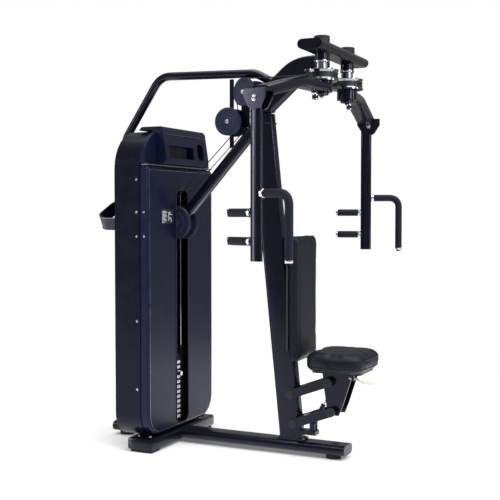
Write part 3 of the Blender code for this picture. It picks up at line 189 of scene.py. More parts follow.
# Moulded black rubber and soft plastic: matt, with a faint mould grain.
rubber = surface("black_rubber", "141519", 0.72, grain=1.2, relief=0.03, tone=0.15)
# Bright zinc plate on turned bolts: pale grey metal with a soft, slightly cloudy shine.
zinc = surface(
    "zinc_plated_bolts", "b7babf", 0.26, metallic=1.0, grain=0.8, relief=0.004, tone=0.08, edge=0.0005
)


def round_shading(mesh, angle):
    """Each corner's normal is the mean, weighted by corner angle, of the faces that meet within the angle."""
    mesh.calc_loop_triangles()
    loops = len(mesh.loops)
    vertex = np.empty(loops, np.int64)
    mesh.loops.foreach_get("vertex_index", vertex)
    points = np.empty(len(mesh.vertices) * 3)
    mesh.vertices.foreach_get("co", points)
    points = points.reshape(-1, 3)
    start = np.empty(len(mesh.polygons), np.int64)
    mesh.polygons.foreach_get("loop_start", start)
    corner = start[:, None] + np.arange(3)
    tri = points[vertex[corner]]
    normal = np.cross(tri[:, 1] - tri[:, 0], tri[:, 2] - tri[:, 0])
    normal /= np.maximum(np.linalg.norm(normal, axis=1, keepdims=True), 1e-15)
    weight = np.zeros(loops)
    for k in range(3):
        a, b = tri[:, (k + 1) % 3] - tri[:, k], tri[:, (k + 2) % 3] - tri[:, k]
        long = np.maximum(np.linalg.norm(a, axis=1) * np.linalg.norm(b, axis=1), 1e-15)
        weight[corner[:, k]] = np.arccos(np.clip((a * b).sum(1) / long, -1, 1))
    faces = np.zeros((loops, 3))
    faces[corner.reshape(-1)] = np.repeat(normal, 3, axis=0)
    _, place = np.unique(np.round(points[vertex] * 1e5).astype(np.int64), axis=0, return_inverse=True)
    order = np.argsort(place.reshape(-1), kind="stable")
    key = place.reshape(-1)[order]
    total = faces * weight[:, None]
    for shift in range(1, int(np.bincount(key).max())):
        first, second = order[:-shift], order[shift:]
        near = (key[:-shift] == key[shift:]) & (
            (faces[first] * faces[second]).sum(1) > math.cos(math.radians(angle))
        )
        first, second = first[near], second[near]
        np.add.at(total, first, faces[second] * weight[second][:, None])
        np.add.at(total, second, faces[first] * weight[first][:, None])
    total /= np.maximum(np.linalg.norm(total, axis=1, keepdims=True), 1e-15)
    mesh.normals_split_custom_set(total.tolist())


def dress(material, *names, angle=34):
    """Gives CAD pieces their finish."""
    for name in names:
        mesh = frame["nodes"][name].data
        mesh.materials.clear()
        mesh.materials.append(material)
        round_shading(mesh, angle)


dress(powder, "base_rail", "rear_rail", "cross_foot", "column")
dress(rubber, "front_foot", "rear_foot", "foot_pad_right", "foot_pad_left")


def mesh_object(name, points, faces, material, body, smooth=40):
    """A new piece from points and faces, riding on a body."""
    mesh = bpy.data.meshes.new(name)
    mesh.from_pydata(
        np.asarray(points, float).reshape(-1, 3).tolist(), [], [list(map(int, f)) for f in faces]
    )
    mesh.materials.append(material)
    mesh.shade_smooth()
    mesh.set_sharp_from_angle(angle=math.radians(smooth))
    item = bpy.data.objects.new(name, mesh)
    bpy.context.scene.collection.objects.link(item)
    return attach(item, body)


def grid_faces(rows, columns, loop=False, first=0):
    """The faces of a tube of rows by columns points: each row joins the next, and closes on itself.

    The ends are capped, or with loop the last row joins the first.
    """
    across = np.arange(columns)
    after = (across + 1) % columns
    quads = []
    for i in range(rows if loop else rows - 1):
        a, b = i * columns, (i + 1) % rows * columns
        quads.append(np.stack([a + across, a + after, b + after, b + across], 1))
    faces = [list(q) for q in (np.concatenate(quads) + first).tolist()]
    if not loop:
        faces.append([first + int(k) for k in across[::-1]])
        faces.append([first + int(k) + (rows - 1) * columns for k in across])
    return faces


def basis(axis):
    """Two unit vectors across an axis, and the axis."""
    axis = np.array(Vector(axis).normalized())
    helper = np.array((0.0, 0.0, 1.0)) if abs(axis[2]) < 0.9 else np.array((1.0, 0.0, 0.0))
    first = np.cross(helper, axis)
    first /= np.linalg.norm(first)
    return first, np.cross(axis, first), axis


def turn(profile, centre, axis, sides=48):
    """A turned surface: each (radius, height) of the profile becomes a ring round the axis."""
    profile = np.asarray(profile, float)
    u, v, w = basis(axis)
    angle = np.linspace(0, 2 * math.pi, sides, endpoint=False)
    ring = np.cos(angle)[:, None] * u + np.sin(angle)[:, None] * v
    return np.asarray(centre, float) + profile[:, :1, None] * ring + profile[:, 1:, None] * w


def assembled(name, grids, material, body, loop=False, smooth=40):
    """One piece from several grids of rows by columns points.

    A grid faces outwards where its columns run anticlockwise about the direction in which its rows climb.
    """
    points, faces, first = [], [], 0
    for grid in grids:
        rows, columns = grid.shape[:2]
        points.append(grid.reshape(-1, 3))
        faces += grid_faces(rows, columns, loop, first)
        first += rows * columns
    return mesh_object(name, np.concatenate(points), faces, material, body, smooth)


def turned(name, profile, centre, axis, material, body, sides=64, loop=False, smooth=40):
    """A piece of one turned surface."""
    return assembled(name, [turn(profile, centre, axis, sides)], material, body, loop, smooth)


def bolts(name, places, axis, radius, material, body):
    """Dome-head bolts on washers, with a round socket, standing on their places."""
    r = radius
    head = [
        (1.5 * r, 0), (1.5 * r, 0.22 * r), (r, 0.24 * r), (r, 0.55 * r), (0.86 * r, 0.86 * r), (0.62 * r, r)
    ]
    head += [(0.48 * r, r), (0.46 * r, 0.55 * r), (0.05 * r, 0.5 * r)]
    return assembled(name, [turn(head, place, axis, 24) for place in places], material, body)


def oval(width, height, steps=10):
    """A flat-oval outline, long in the first direction, anticlockwise."""
    r = height / 2
    half = width / 2 - r
    right = np.linspace(-math.pi / 2, math.pi / 2, steps)
    left = right + math.pi
    return np.concatenate(
        [
            np.stack([half + r * np.cos(right), r * np.sin(right)], 1),
            np.stack([-half + r * np.cos(left), r * np.sin(left)], 1),
        ]
    )


def plug(name, centre, out, side, width, height, depth, material, body, dome=0.3):
    """A domed plastic end plug: flat-oval rings that shrink as a quarter circle over its depth."""
    out, side = np.array(Vector(out).normalized()), np.array(Vector(side).normalized())
    up = np.cross(out, side)
    rings = []
    for t in np.linspace(0, 1, 6):
        lift = math.sin(t * math.pi / 2) * depth
        inset = (1 - math.cos(t * math.pi / 2)) * depth * (1 + dome)
        outline = oval(width - 2 * inset, height - 2 * inset)
        rings.append(np.asarray(centre) + outline[:, :1] * side + outline[:, 1:] * up + out * lift)
    return assembled(name, [np.array(rings)], material, body, smooth=60)


low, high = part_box("base_rail")
rail_z = (low.z + high.z) / 2
rail_height = high.z - low.z
plug(
    "rail_plug_front", (high.x - 0.0085, 0, rail_z), (1, 0, 0), (0, 1, 0), 0.1206, rail_height + 0.0006,
    0.008, rubber, "frame"
)
rear_low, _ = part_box("rear_rail")
plug(
    "rail_plug_rear", (rear_low.x + 0.0085, 0, rail_z), (-1, 0, 0), (0, -1, 0), 0.1206, rail_height + 0.0006,
    0.008, rubber, "frame"
)
cap = [(0.019, 0), (0.019, 0.0015), (0.016, 0.0028), (0.004, 0.0034)]
turned("rail_hole_plug", cap, (0.012, 0, high.z), (0, 0, 1), rubber, "frame")
_, foot_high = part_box("column")
foot_x = -0.2165
places = [(foot_x + dx, dy, high.z + 0.0093) for dx in (-0.068, 0.068) for dy in (-0.024, 0.024)]
bolts("column_foot_bolts", places, (0, 0, 1), 0.0042, zinc, "frame")
cross_low, cross_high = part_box("cross_foot")
for side, tag in ((-1, "right"), (1, "left")):
    y = side * (cross_high.y - 0.052)
    spots = [(cross_low.x + dx, y, cross_high.z) for dx in (0.040, 0.105)]
    bolts("cross_foot_bolts_" + tag, spots, (0, 0, 1), 0.006, zinc, "frame")


def weld(name, path, radius, body, closed=False):
    """A weld bead: a low tube whose radius ripples every 3 mm along the path."""
    path = np.asarray(path, float)
    if closed:
        path = np.concatenate([path, path[:1]])
    steps = np.linalg.norm(np.diff(path, axis=0), axis=1)
    length = np.concatenate([[0], np.cumsum(steps)])
    count = max(12, int(length[-1] / 0.0012))
    at = np.linspace(0, length[-1], count)
    line = np.stack([np.interp(at, length, path[:, k]) for k in range(3)], 1)
    tangent = np.gradient(line, axis=0)
    tangent /= np.maximum(np.linalg.norm(tangent, axis=1, keepdims=True), 1e-12)
    helper = np.where(np.abs(tangent[:, 2:]) < 0.9, np.array([[0.0, 0, 1]]), np.array([[1.0, 0, 0]]))
    u = np.cross(tangent, helper)
    u /= np.linalg.norm(u, axis=1, keepdims=True)
    v = np.cross(tangent, u)
    angle = np.linspace(0, 2 * math.pi, 8, endpoint=False)
    ripple = radius * (1 + 0.14 * np.sin(at / 0.003 * 2 * math.pi))
    ring = np.cos(angle)[None, :, None] * u[:, None] + np.sin(angle)[None, :, None] * v[:, None]
    grid = line[:, None] + ring * ripple[:, None, None]
    return assembled(name, [grid], powder, body, smooth=80)


edge_z = high.z + 0.0105
half_x, half_y = 0.060, 0.030
corners = [
    (foot_x - half_x, -half_y), (foot_x + half_x, -half_y), (foot_x + half_x, half_y),
    (foot_x - half_x, half_y)
]
weld("column_foot_weld", [(x - 0.001, y, edge_z) for x, y in corners], 0.0032, "frame", closed=True)

top_x = foot_x - 0.103 * (foot_high.z - high.z)
corners = [
    (top_x - half_x, -half_y), (top_x + half_x, -half_y), (top_x + half_x, half_y), (top_x - half_x, half_y)
]
weld("column_top_weld", [(x, y, foot_high.z) for x, y in corners], 0.0030, "frame", closed=True)

# ---------------------------------------------------------------- weight housing
# A deep dark shroud with a moulded front cover. A bright strip parts the cover from the hood, a thin pale line
# along the cover's edge is a painted highlight for the light on its rounded edge, and zinc screws hold the
# cover from the sides.

# Satin enamel on sheet steel: a smooth, wide and soft reflection.
enamel = surface("satin_enamelled_housing", "0b0b16", 0.27, grain=1.8, relief=0.008, sheen="8486a6")
# Moulded ABS with a fine spark texture: dark navy, slightly softer than the enamel.
moulding = surface("moulded_cover_plastic", "0e1226", 0.33, grain=0.9, relief=0.012, sheen="9096c0")
# Brushed aluminium trim: pale and narrow, with fine lines. It also draws the painted highlights along the
# cover's edge and the hoop's edges.
trim_and_highlight_metal = surface("brushed_trim_and_painted_highlights", "9a9da6", 0.28, metallic=1.0, grain=0.5, relief=0.004, tone=0.05)
dress(enamel, "rear_shroud")
dress(moulding, "front_cover", "console")
dress(powder, "tower_frame")
cover_low, cover_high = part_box("front_cover")
_, shroud_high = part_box("rear_shroud")
hood_low, hood_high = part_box("console")


def band(name, outline, x0, x1, width, material, body):
    """A flat strip of a width, standing along a closed outline in Y and Z between two depths."""
    outline = np.asarray(outline, float)
    ahead, behind = np.roll(outline, -1, 0), np.roll(outline, 1, 0)
    tangent = ahead - behind
    tangent /= np.linalg.norm(tangent, axis=1, keepdims=True)
    normal = np.stack([tangent[:, 1], -tangent[:, 0]], 1)
    inner = outline - normal * width
    rows = [(outline, x0), (outline, x1), (inner, x1), (inner, x0)]
    grid = np.array([np.concatenate([np.full((len(o), 1), x), o], 1) for o, x in rows])
    return assembled(name, [grid], material, body, loop=True, smooth=30)


def rounded(y0, y1, z0, z1, radii, steps=12):
    """A rectangle in Y and Z with a radius at each corner: low right, high right, high left, low left."""
    spots = ((y1, z0, -90), (y1, z1, 0), (y0, z1, 90), (y0, z0, 180))
    signs = ((-1, 1), (-1, -1), (1, -1), (1, 1))
    parts = []
    for (y, z, begin), (sy, sz), r in zip(spots, signs, radii):
        turn_by = np.radians(np.linspace(begin, begin + 90, steps))
        parts.append(np.stack([y + sy * r + r * np.cos(turn_by), z + sz * r + r * np.sin(turn_by)], 1))
    return np.concatenate(parts)


# A painted highlight: a thin pale metal strip traced round the cover's front face, where its rounded edge
# catches the light.
inset = 0.0165
face = rounded(
    cover_low.y + inset, cover_high.y - inset, cover_low.z + inset, cover_high.z - inset,
    (0.100, 0.008, 0.008, 0.100)
)
band("cover_edge_painted_highlight", face, cover_high.x - 0.0004, cover_high.x + 0.0009, 0.0026, trim_and_highlight_metal, "frame")
slot = rounded(-0.066, 0.066, 0.094, 1.318, (0.040, 0.040, 0.040, 0.040))
band("slot_lining", slot, cover_high.x - 0.0006, cover_high.x + 0.0022, 0.0065, rubber, "frame")
strip = rounded(
    cover_low.y + 0.004, cover_high.y - 0.004, cover_high.z + 0.0028, hood_low.z - 0.0028, (0.001,) * 4, 3
)
front = cover_high.x
grid = np.array(
    [np.concatenate([np.full((len(strip), 1), x), strip], 1) for x in (front - 0.040, front - 0.003)]
)
assembled("hood_trim_strip", [grid], trim_and_highlight_metal, "frame", smooth=30)
for side, tag in ((-1, "right"), (1, "left")):
    y = side * shroud_high.y
    spots = [(front - 0.062, y, z) for z in (0.32, 0.66, 1.08, 1.20, 1.36)]
    bolts("housing_screws_" + tag, spots, (0, side, 0), 0.0042, zinc, "frame")
    spots = [(cover_low.x + 0.022, side * cover_high.y, z) for z in (1.08, 1.20)]
    bolts("cover_screws_" + tag, spots, (0, side, 0), 0.0038, zinc, "frame")

# ---------------------------------------------------------------- placard
# A thin printed plate on the front cover. It carries a generic seat diagram and rows of plain strokes instead
# of wording.

# A screen-printed film placard: dark blue grey under a clear layer.
print_dark = surface("printed_placard", "20242f", 0.32, coat=0.3, grain=0.6, relief=0.004, tone=0.05)
# White printing ink, matt on the placard.
print_white = surface("printed_white_ink", "d4d8de", 0.55, grain=0.5, relief=0.004, tone=0.03, edge=0.0)
dress(print_dark, "placard")
plate_low, plate_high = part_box("placard")
strokes = []
x = plate_high.x + 0.0004


def stroke(y0, y1, z0, z1, x0=x - 0.0004, x1=x + 0.0004):
    """A printed bar as an eight-cornered ring."""
    ring = np.array([(y0, z0), (y1, z0), (y1, z1), (y0, z1)])
    return np.array([np.concatenate([np.full((4, 1), d), ring], 1) for d in (x0, x1)])


for row in range(9):
    z = plate_high.z - 0.012 - row * 0.0068
    reach = (0.040, 0.046, 0.034, 0.044, 0.046, 0.030, 0.042, 0.046, 0.026)[row]
    strokes.append(stroke(plate_low.y + 0.008, plate_low.y + 0.008 + reach, z - 0.0012, z + 0.0012))
strokes.append(stroke(plate_high.y - 0.050, plate_high.y - 0.047, plate_low.z + 0.014, plate_high.z - 0.016))
strokes.append(stroke(plate_high.y - 0.047, plate_high.y - 0.024, plate_low.z + 0.028, plate_low.z + 0.031))
strokes.append(stroke(plate_high.y - 0.026, plate_high.y - 0.023, plate_low.z + 0.010, plate_low.z + 0.028))
strokes.append(stroke(plate_high.y - 0.040, plate_high.y - 0.014, plate_low.z + 0.046, plate_low.z + 0.049))
strokes.append(stroke(plate_high.y - 0.043, plate_high.y - 0.035, plate_low.z + 0.052, plate_low.z + 0.060))
assembled("placard_print", strokes, print_white, "frame", smooth=20)

# ---------------------------------------------------------------- hood
# A moulded hood closes the housing's top. It has a tray with a rubber mat, an oval cup holder and a slim pale
# line along the centre block.

hood_front = hood_high.x
line = stroke(-0.205, 0.205, 1.5905, 1.5925, hood_front - 0.0330, hood_front - 0.0140)
assembled("hood_pinstripe", [line], trim_and_highlight_metal, "frame", smooth=20)
tray = rounded(-0.187, 0.067, 1.475, 1.533, (0.009,) * 4, 6)
back = front - 0.0095
mat = np.array([np.concatenate([np.full((len(tray), 1), d), tray], 1) for d in (back, back + 0.0015)])
assembled("tray_mat", [mat], rubber, "frame", smooth=30)

# ---------------------------------------------------------------- weight stack
# Twelve satin plates on chromed rods. Each plate has a drilled front hole with a bright rim and a printed
# number; the selector pin stands in one of them.

# Cast iron plates, painted satin: a fine sand-cast relief.
iron = surface("satin_cast_plates", "17181c", 0.40, coat=0.1, grain=0.8, relief=0.030)
# White film stickers: smooth and slightly glossy.
label_white = surface("white_label_film", "eceef0", 0.45, grain=0.5, relief=0.003, tone=0.02, edge=0.0)
# Bright chrome plate on ground steel: a clear mirror.
chrome = surface(
    "bright_chrome_plate", "cdd0d6", 0.07, metallic=1.0, grain=3.0, relief=0.001, tone=0.04, edge=0.0006
)
dress(iron, "resting_plates", "lifted_plates", "stack_head")
dress(rubber, "stack_bumper_right", "stack_bumper_left")
dress(chrome, "selector_pin")
stack_low, stack_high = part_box("resting_plates")
lifted_low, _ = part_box("lifted_plates")
pitch = (stack_high.z - stack_low.z) / 9
plate_front = stack_high.x


def numerals(name, values, body):
    """Printed numbers, one above another, each turned to face forward."""
    points, faces, first = [], [], 0
    for value, y, z in values:
        text = bpy.data.curves.new("numeral", "FONT")
        text.body = str(value)
        text.size = 0.0125
        text.align_x = "CENTER"
        text.align_y = "CENTER"
        text.extrude = 0.0002
        text.resolution_u = 2
        helper = bpy.data.objects.new("numeral", text)
        mesh = bpy.data.meshes.new_from_object(helper)
        co = np.empty(len(mesh.vertices) * 3)
        mesh.vertices.foreach_get("co", co)
        co = co.reshape(-1, 3)
        points.append(np.stack([plate_front + 0.0009 + co[:, 2], y + co[:, 0], z + co[:, 1]], 1))
        faces += [[first + v for v in p.vertices] for p in mesh.polygons]
        first += len(co)
        bpy.data.objects.remove(helper)
    return mesh_object(name, np.concatenate(points), faces, print_dark, body, 20)


def labels(name, values, body):
    """White stickers with rounded corners behind the numbers."""
    grids = []
    for _, y, z in values:
        outline = rounded(y - 0.016, y + 0.016, z - 0.0075, z + 0.0075, (0.003,) * 4, 4)
        rings = [
            np.concatenate([np.full((len(outline), 1), d), outline], 1) for d in (
                plate_front, plate_front + 0.0006
            )
        ]
        grids.append(np.array(rings))
    return assembled(name, grids, label_white, body, smooth=30)


resting = [(60 - 5 * i, 0.034, stack_low.z + (i + 0.5) * pitch) for i in range(9)]
numerals("plate_numbers_resting", resting, "frame")
labels("plate_labels_resting", resting, "frame")
lifted = [(15 - 5 * i, 0.034, lifted_low.z + (i + 0.5) * pitch) for i in range(3)]
numerals("plate_numbers_lifted", lifted, "stack")
labels("plate_labels_lifted", lifted, "stack")
rim = [(0.0078, 0.0001), (0.0074, 0.0009), (0.0062, 0.0009), (0.0060, 0.0001)]
rims = [turn(rim, (plate_front, 0, stack_low.z + (i + 0.5) * pitch), (1, 0, 0), 24) for i in range(9)]
assembled("plate_hole_rims_resting", rims, zinc, "frame", loop=True)
rims = [turn(rim, (plate_front, 0, lifted_low.z + (i + 0.5) * pitch), (1, 0, 0), 24) for i in range(3)]
assembled("plate_hole_rims_lifted", rims, zinc, "stack", loop=True)
for side, tag in ((-1, "right"), (1, "left")):
    a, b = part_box("guide_rod_" + tag)
    middle = (a + b) / 2
    radius = (b.x - a.x) / 2
    shaft = [(radius, a.z), (radius, b.z)]
    rod = turned("chromed_guide_rod_" + tag, shaft, (middle.x, middle.y, 0), (0, 0, 1), chrome, "frame", 48)
    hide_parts("guide_rod_" + tag)
_, head_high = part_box("stack_head")
for side in (-1, 1):
    collar = [(0.0052, 0), (0.0052, 0.016), (0.0030, 0.021), (0.0030, 0.034)]
    turned(
        f"cable_ferrule_{'right' if side < 0 else 'left'}", collar, (-0.945, side * 0.042, head_high.z),
        (0, 0, 1), zinc, "stack", 20
    )
bolts(
    "yoke_bolts", [(-0.935, y, head_high.z - 0.010) for y in (-0.045, 0.045)], (1, 0, 0), 0.0055, zinc,
    "stack"
)

# ---------------------------------------------------------------- roll bar, gooseneck and crossbar
# One long round tube rises behind the housing and runs forward to the gooseneck, which carries the column's
# tube on to a flat-oval crossbar with domed plugs. The pivots' tops are capped with bright nuts.

dress(powder, "brace", "pulley_hanger")
dress(powder, "gooseneck", "crossbar", angle=40)


def eased(points, radius, steps):
    """A path through corners, each rounded by a parabola between points `radius` times tan(half turn) away."""
    points = [np.array(p, float) for p in points]
    path = [points[0]]
    for before, corner, after in zip(points, points[1:], points[2:]):
        u, v = before - corner, after - corner
        lu, lv = np.linalg.norm(u), np.linalg.norm(v)
        half = (math.pi - math.acos(np.clip(u @ v / lu / lv, -1, 1))) / 2
        reach = min(radius * math.tan(half), 0.49 * lu, 0.49 * lv)
        a, b = corner + u / lu * reach, corner + v / lv * reach
        t = np.linspace(0, 1, steps + 1)[:, None]
        path += list((1 - t) ** 2 * a + 2 * t * (1 - t) * corner + t**2 * b)
    path.append(points[-1])
    return np.array(path)


def drawn(path, section, side):
    """A tube: the section's first direction lies along `side`, its second across the path."""
    path, section = np.asarray(path, float), np.asarray(section, float)
    step = np.diff(path, axis=0)
    step /= np.linalg.norm(step, axis=1, keepdims=True)
    tangent = np.concatenate([step[:1], step[:-1] + step[1:], step[-1:]])
    tangent /= np.linalg.norm(tangent, axis=1, keepdims=True)
    side = np.array(Vector(side).normalized())
    up = np.cross(tangent, side)
    up /= np.linalg.norm(up, axis=1, keepdims=True)
    # mitred: a ring across a bend is stretched so that the tube keeps its thickness
    bend = np.ones(len(path))
    bend[1:-1] = 1 / np.maximum(np.sqrt((1 + (step[:-1] * step[1:]).sum(1)) / 2), 0.5)
    return path[:, None] + section[:, :1] * side + section[None, :, 1:] * up[:, None] * bend[:, None, None]


def circle(radius, sides=40):
    """A round section's points, anticlockwise."""
    angle = np.linspace(0, 2 * math.pi, sides, endpoint=False)
    return np.stack([radius * np.cos(angle), radius * np.sin(angle)], 1)


roll_low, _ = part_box("roll_bar")
rear = [
    (-1.190, 0, roll_low.z + 0.004), (-1.190, 0, 1.590), (-0.972, 0, 1.910), (-0.420, 0, 1.893),
    (-0.312, 0, 1.836)
]
tube = assembled(
    "bent_roll_tube", [drawn(eased(rear, 0.11, 16), circle(0.021), (0, 1, 0))], powder, "frame", smooth=60
)
flange = rounded(-0.035, 0.035, -1.225, -1.155, (0.008,) * 4, 5)
grid = np.array(
    [
        np.stack([flange[:, 1], flange[:, 0], np.full(len(flange), z)], 1) for z in (
            roll_low.z, roll_low.z + 0.0087
        )
    ]
)
assembled("roll_tube_flange", [grid[::-1]], powder, "frame", smooth=30)
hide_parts("roll_bar")
ring = [
    (-1.190 + 0.022 * math.cos(t), 0.022 * math.sin(t), roll_low.z + 0.0095) for t in np.linspace(
        0, 2 * math.pi, 25
    )
]
weld("roll_tube_weld", ring, 0.0028, "frame")
spots = [(-1.190 + dx, dy, roll_low.z + 0.0087) for dx in (-0.027, 0.027) for dy in (-0.027, 0.027)]
bolts("roll_tube_bolts", spots, (0, 0, 1), 0.0032, zinc, "frame")

_, bar_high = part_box("crossbar")
bar_z = 1.9585
for side, tag in ((-1, "right"), (1, "left")):
    plug(
        "crossbar_plug_" + tag, (0, side * (bar_high.y - 0.0095), bar_z), (0, side, 0), (-side, 0, 0), 0.1206,
        0.0456, 0.009, rubber, "frame", 0.6
    )
    y = side * 0.175
    nut = [
        (0.0372, 1.9805), (0.0372, 2.0128), (0.0345, 2.0157), (0.0200, 2.0157), (0.0190, 2.0145),
        (0.002, 2.0145)
    ]
    turned("pivot_cap_" + tag, nut, (0, y, 0), (0, 0, 1), rubber, "frame", 64)
    crown = [
        (0.0290, 2.0135), (0.0290, 2.0152), (0.0200, 2.0159), (0.0195, 2.0159), (0.0190, 2.0148),
        (0.002, 2.0148)
    ]
    turned("pivot_cap_ring_" + tag, crown, (0, y, 0), (0, 0, 1), zinc, "frame", 48)
    sleeve_ring = [(0.0345, 1.8945), (0.0352, 1.8960), (0.0352, 1.9010), (0.0345, 1.9025)]
    sleeve_ring += [(0.0331, 1.9025), (0.0331, 1.8945)]
    turned("pivot_ring_" + tag, sleeve_ring, (0, y, 0), (0, 0, 1), chrome, "frame", 64, loop=True)

# ---------------------------------------------------------------- pulleys and cables
# Machined nylon sheaves with a stepped web run on steel axles with bright bolts and washers. Thin black
# sleeved cables lie in their grooves.

# Turned nylon: dark, with a soft shine from the tool.
nylon = surface("machined_nylon", "222438", 0.42, grain=0.7, relief=0.010, tone=0.08, sheen="a8acd0")
# Nylon sleeve drawn over steel cable: smooth and black.
sleeve = surface("nylon_cable_sleeve", "131419", 0.35, grain=0.8, relief=0.010, tone=0.05, edge=0.0)


def sheave(rim):
    """The outline of a sheave: groove, flange, recessed web and hub."""
    return [
        (rim - 0.0010, 0.0110),
        (rim, 0.0100),
        (rim, 0.0094),
        (rim - 0.009, 0.0030),
        (rim - 0.009, -0.0030),
        (rim, -0.0094),
        (rim, -0.0100),
        (rim - 0.0010, -0.0110),
        (rim - 0.0130, -0.0110),
        (rim - 0.0150, -0.0085),
        (rim - 0.0300, -0.0080),
        (rim - 0.0315, -0.0092),
        (0.0230, -0.0085),
        (0.0200, -0.0110),
        (0.0092, -0.0110),
        (0.0092, 0.0110),
        (0.0200, 0.0110),
        (0.0230, 0.0085),
        (rim - 0.0315, 0.0092),
        (rim - 0.0300, 0.0080),
        (rim - 0.0150, 0.0085),
        (rim - 0.0130, 0.0110),
    ]


joints = {joint["name"]: joint for joint in frame["joints"]}
for kind, rim in (("tower", 0.088), ("brace", 0.070), ("angled", 0.070)):
    for side, tag in ((-1, "right"), (1, "left")):
        name = f"{kind}_pulley_{tag}"
        joint = joints[name]
        out = Vector(joint["axis"])
        out = out if out.y * side > 0 else -out
        wheel = turned(
            "sheave_" + name, sheave(rim)[::-1], joint["pos_m"], out, nylon, name, 72, loop=True, smooth=30
        )
        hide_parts(name)
        middle = Vector(joint["pos_m"])
        end = middle + out * 0.0118
        bolts("axle_bolt_" + name, [end], out, 0.0082, zinc, "frame")
dress(zinc, "cable_drop_right", "cable_drop_left")
for side, tag in ((-1, "right"), (1, "left")):
    dress(sleeve, "cable_" + tag)
    spool = Vector(joints["fly_" + tag]["pos_m"])
    at = np.linspace(0, 2 * math.pi, 73)
    out = np.stack([np.cos(at), np.sin(at), np.zeros(73)], 1)[:-1, None]
    section = circle(0.0024, 10)[None, :, :, None]
    up = np.array((0, 0, 1.0))
    turns = []
    for lift, radius in (
        (-0.0094, 0.0752), (-0.0047, 0.0728), (0.0, 0.0726), (0.0047, 0.0728), (0.0094, 0.0752)
    ):
        rings = np.array(spool) + up * lift + out * radius + section[:, :, 0] * out + section[:, :, 1] * up
        turns.append(rings[:, ::-1])
    assembled("wound_cable_" + tag, turns, sleeve, "spool_" + tag, loop=True, smooth=80)

# ---------------------------------------------------------------- pivots and arms
# Under each end of the crossbar hangs a chromed spool with a drilled lower flange, bright spacer bolts and a
# retaining ring. The arm below it is a flat-oval tube that bends down to a half-round yoke.

# Chrome plate that hangs among dark tubes: a darker copy of the bright chrome, its colour lowered as painted
# shade.
chrome_painted_darker = surface(
    "chrome_plate_with_painted_shade", "8d9199", 0.11, metallic=1.0, grain=3.0, relief=0.001, tone=0.06, edge=0.0006
)
for side, tag in ((-1, "right"), (1, "left")):
    y = side * 0.175
    # The pivot discs take the darkened chrome copy: painted shade.
    dress(chrome_painted_darker, "pivot_disc_" + tag, angle=40)
    dress(powder, "arm_" + tag, angle=44)
    dress(chrome, "pull_pin_" + tag, angle=40)
    low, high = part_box("pull_pin_" + tag)
    z = low.z
    spot = Vector(((low.x + high.x) / 2, (low.y + high.y) / 2, 0))
    knob = [(0.0060, z - 0.0005), (0.0128, z + 0.0005), (0.0148, z + 0.0045), (0.0148, z + 0.0120)]
    knob += [(0.0144, z + 0.0160), (0.0130, z + 0.0228)]
    turned("pull_knob_" + tag, knob, spot, (0, 0, 1), rubber, "pin_" + tag, 32)
    heads = []
    for turn_by in np.radians(np.arange(30, 390, 60)):
        centre = (0.0765 * math.cos(turn_by), y + 0.0765 * math.sin(turn_by), 0)
        heads.append(turn([(0.0052, 1.8572), (0.0052, 1.8600), (0.0030, 1.8612)], centre, (0, 0, 1), 6))
    assembled("spool_bolts_" + tag, heads, zinc, "spool_" + tag, smooth=30)
    seal = [(0.0300, 1.8575), (0.0330, 1.8575), (0.0330, 1.8635), (0.0300, 1.8650)]
    turned("spool_collar_" + tag, seal, (0, y, 0), (0, 0, 1), rubber, "spool_" + tag, 48, loop=True)
    base = (0, y, 1.7557)
    stub = [
        (0.0330, 0.0), (0.0330, -0.010), (0.0300, -0.013), (0.012, -0.013), (0.010, -0.020), (0.0030, -0.021)
    ]
    turned("arm_pivot_boss_" + tag, stub[::-1], base, (0, 0, 1), powder, "arm_" + tag, 48)
    bolts("arm_pivot_bolt_" + tag, [(0, y, 1.7347)], (0, 0, -1), 0.0065, zinc, "arm_" + tag)
    hinge = joints["handle_swing_" + tag]
    out = Vector(hinge["axis"])
    pin = Vector(hinge["pos_m"])
    for sign, end in ((-1, "inner"), (1, "outer")):
        bolts(f"yoke_bolt_{end}_{tag}", [pin + out * (sign * 0.0285)], out * sign, 0.0085, zinc, "arm_" + tag)

# ---------------------------------------------------------------- handles
# Each hanging post is a flat-oval tube with a plug in its lower end. Its welded tubes carry soft rubber
# grips, each between a chromed collar and a chromed end cap.

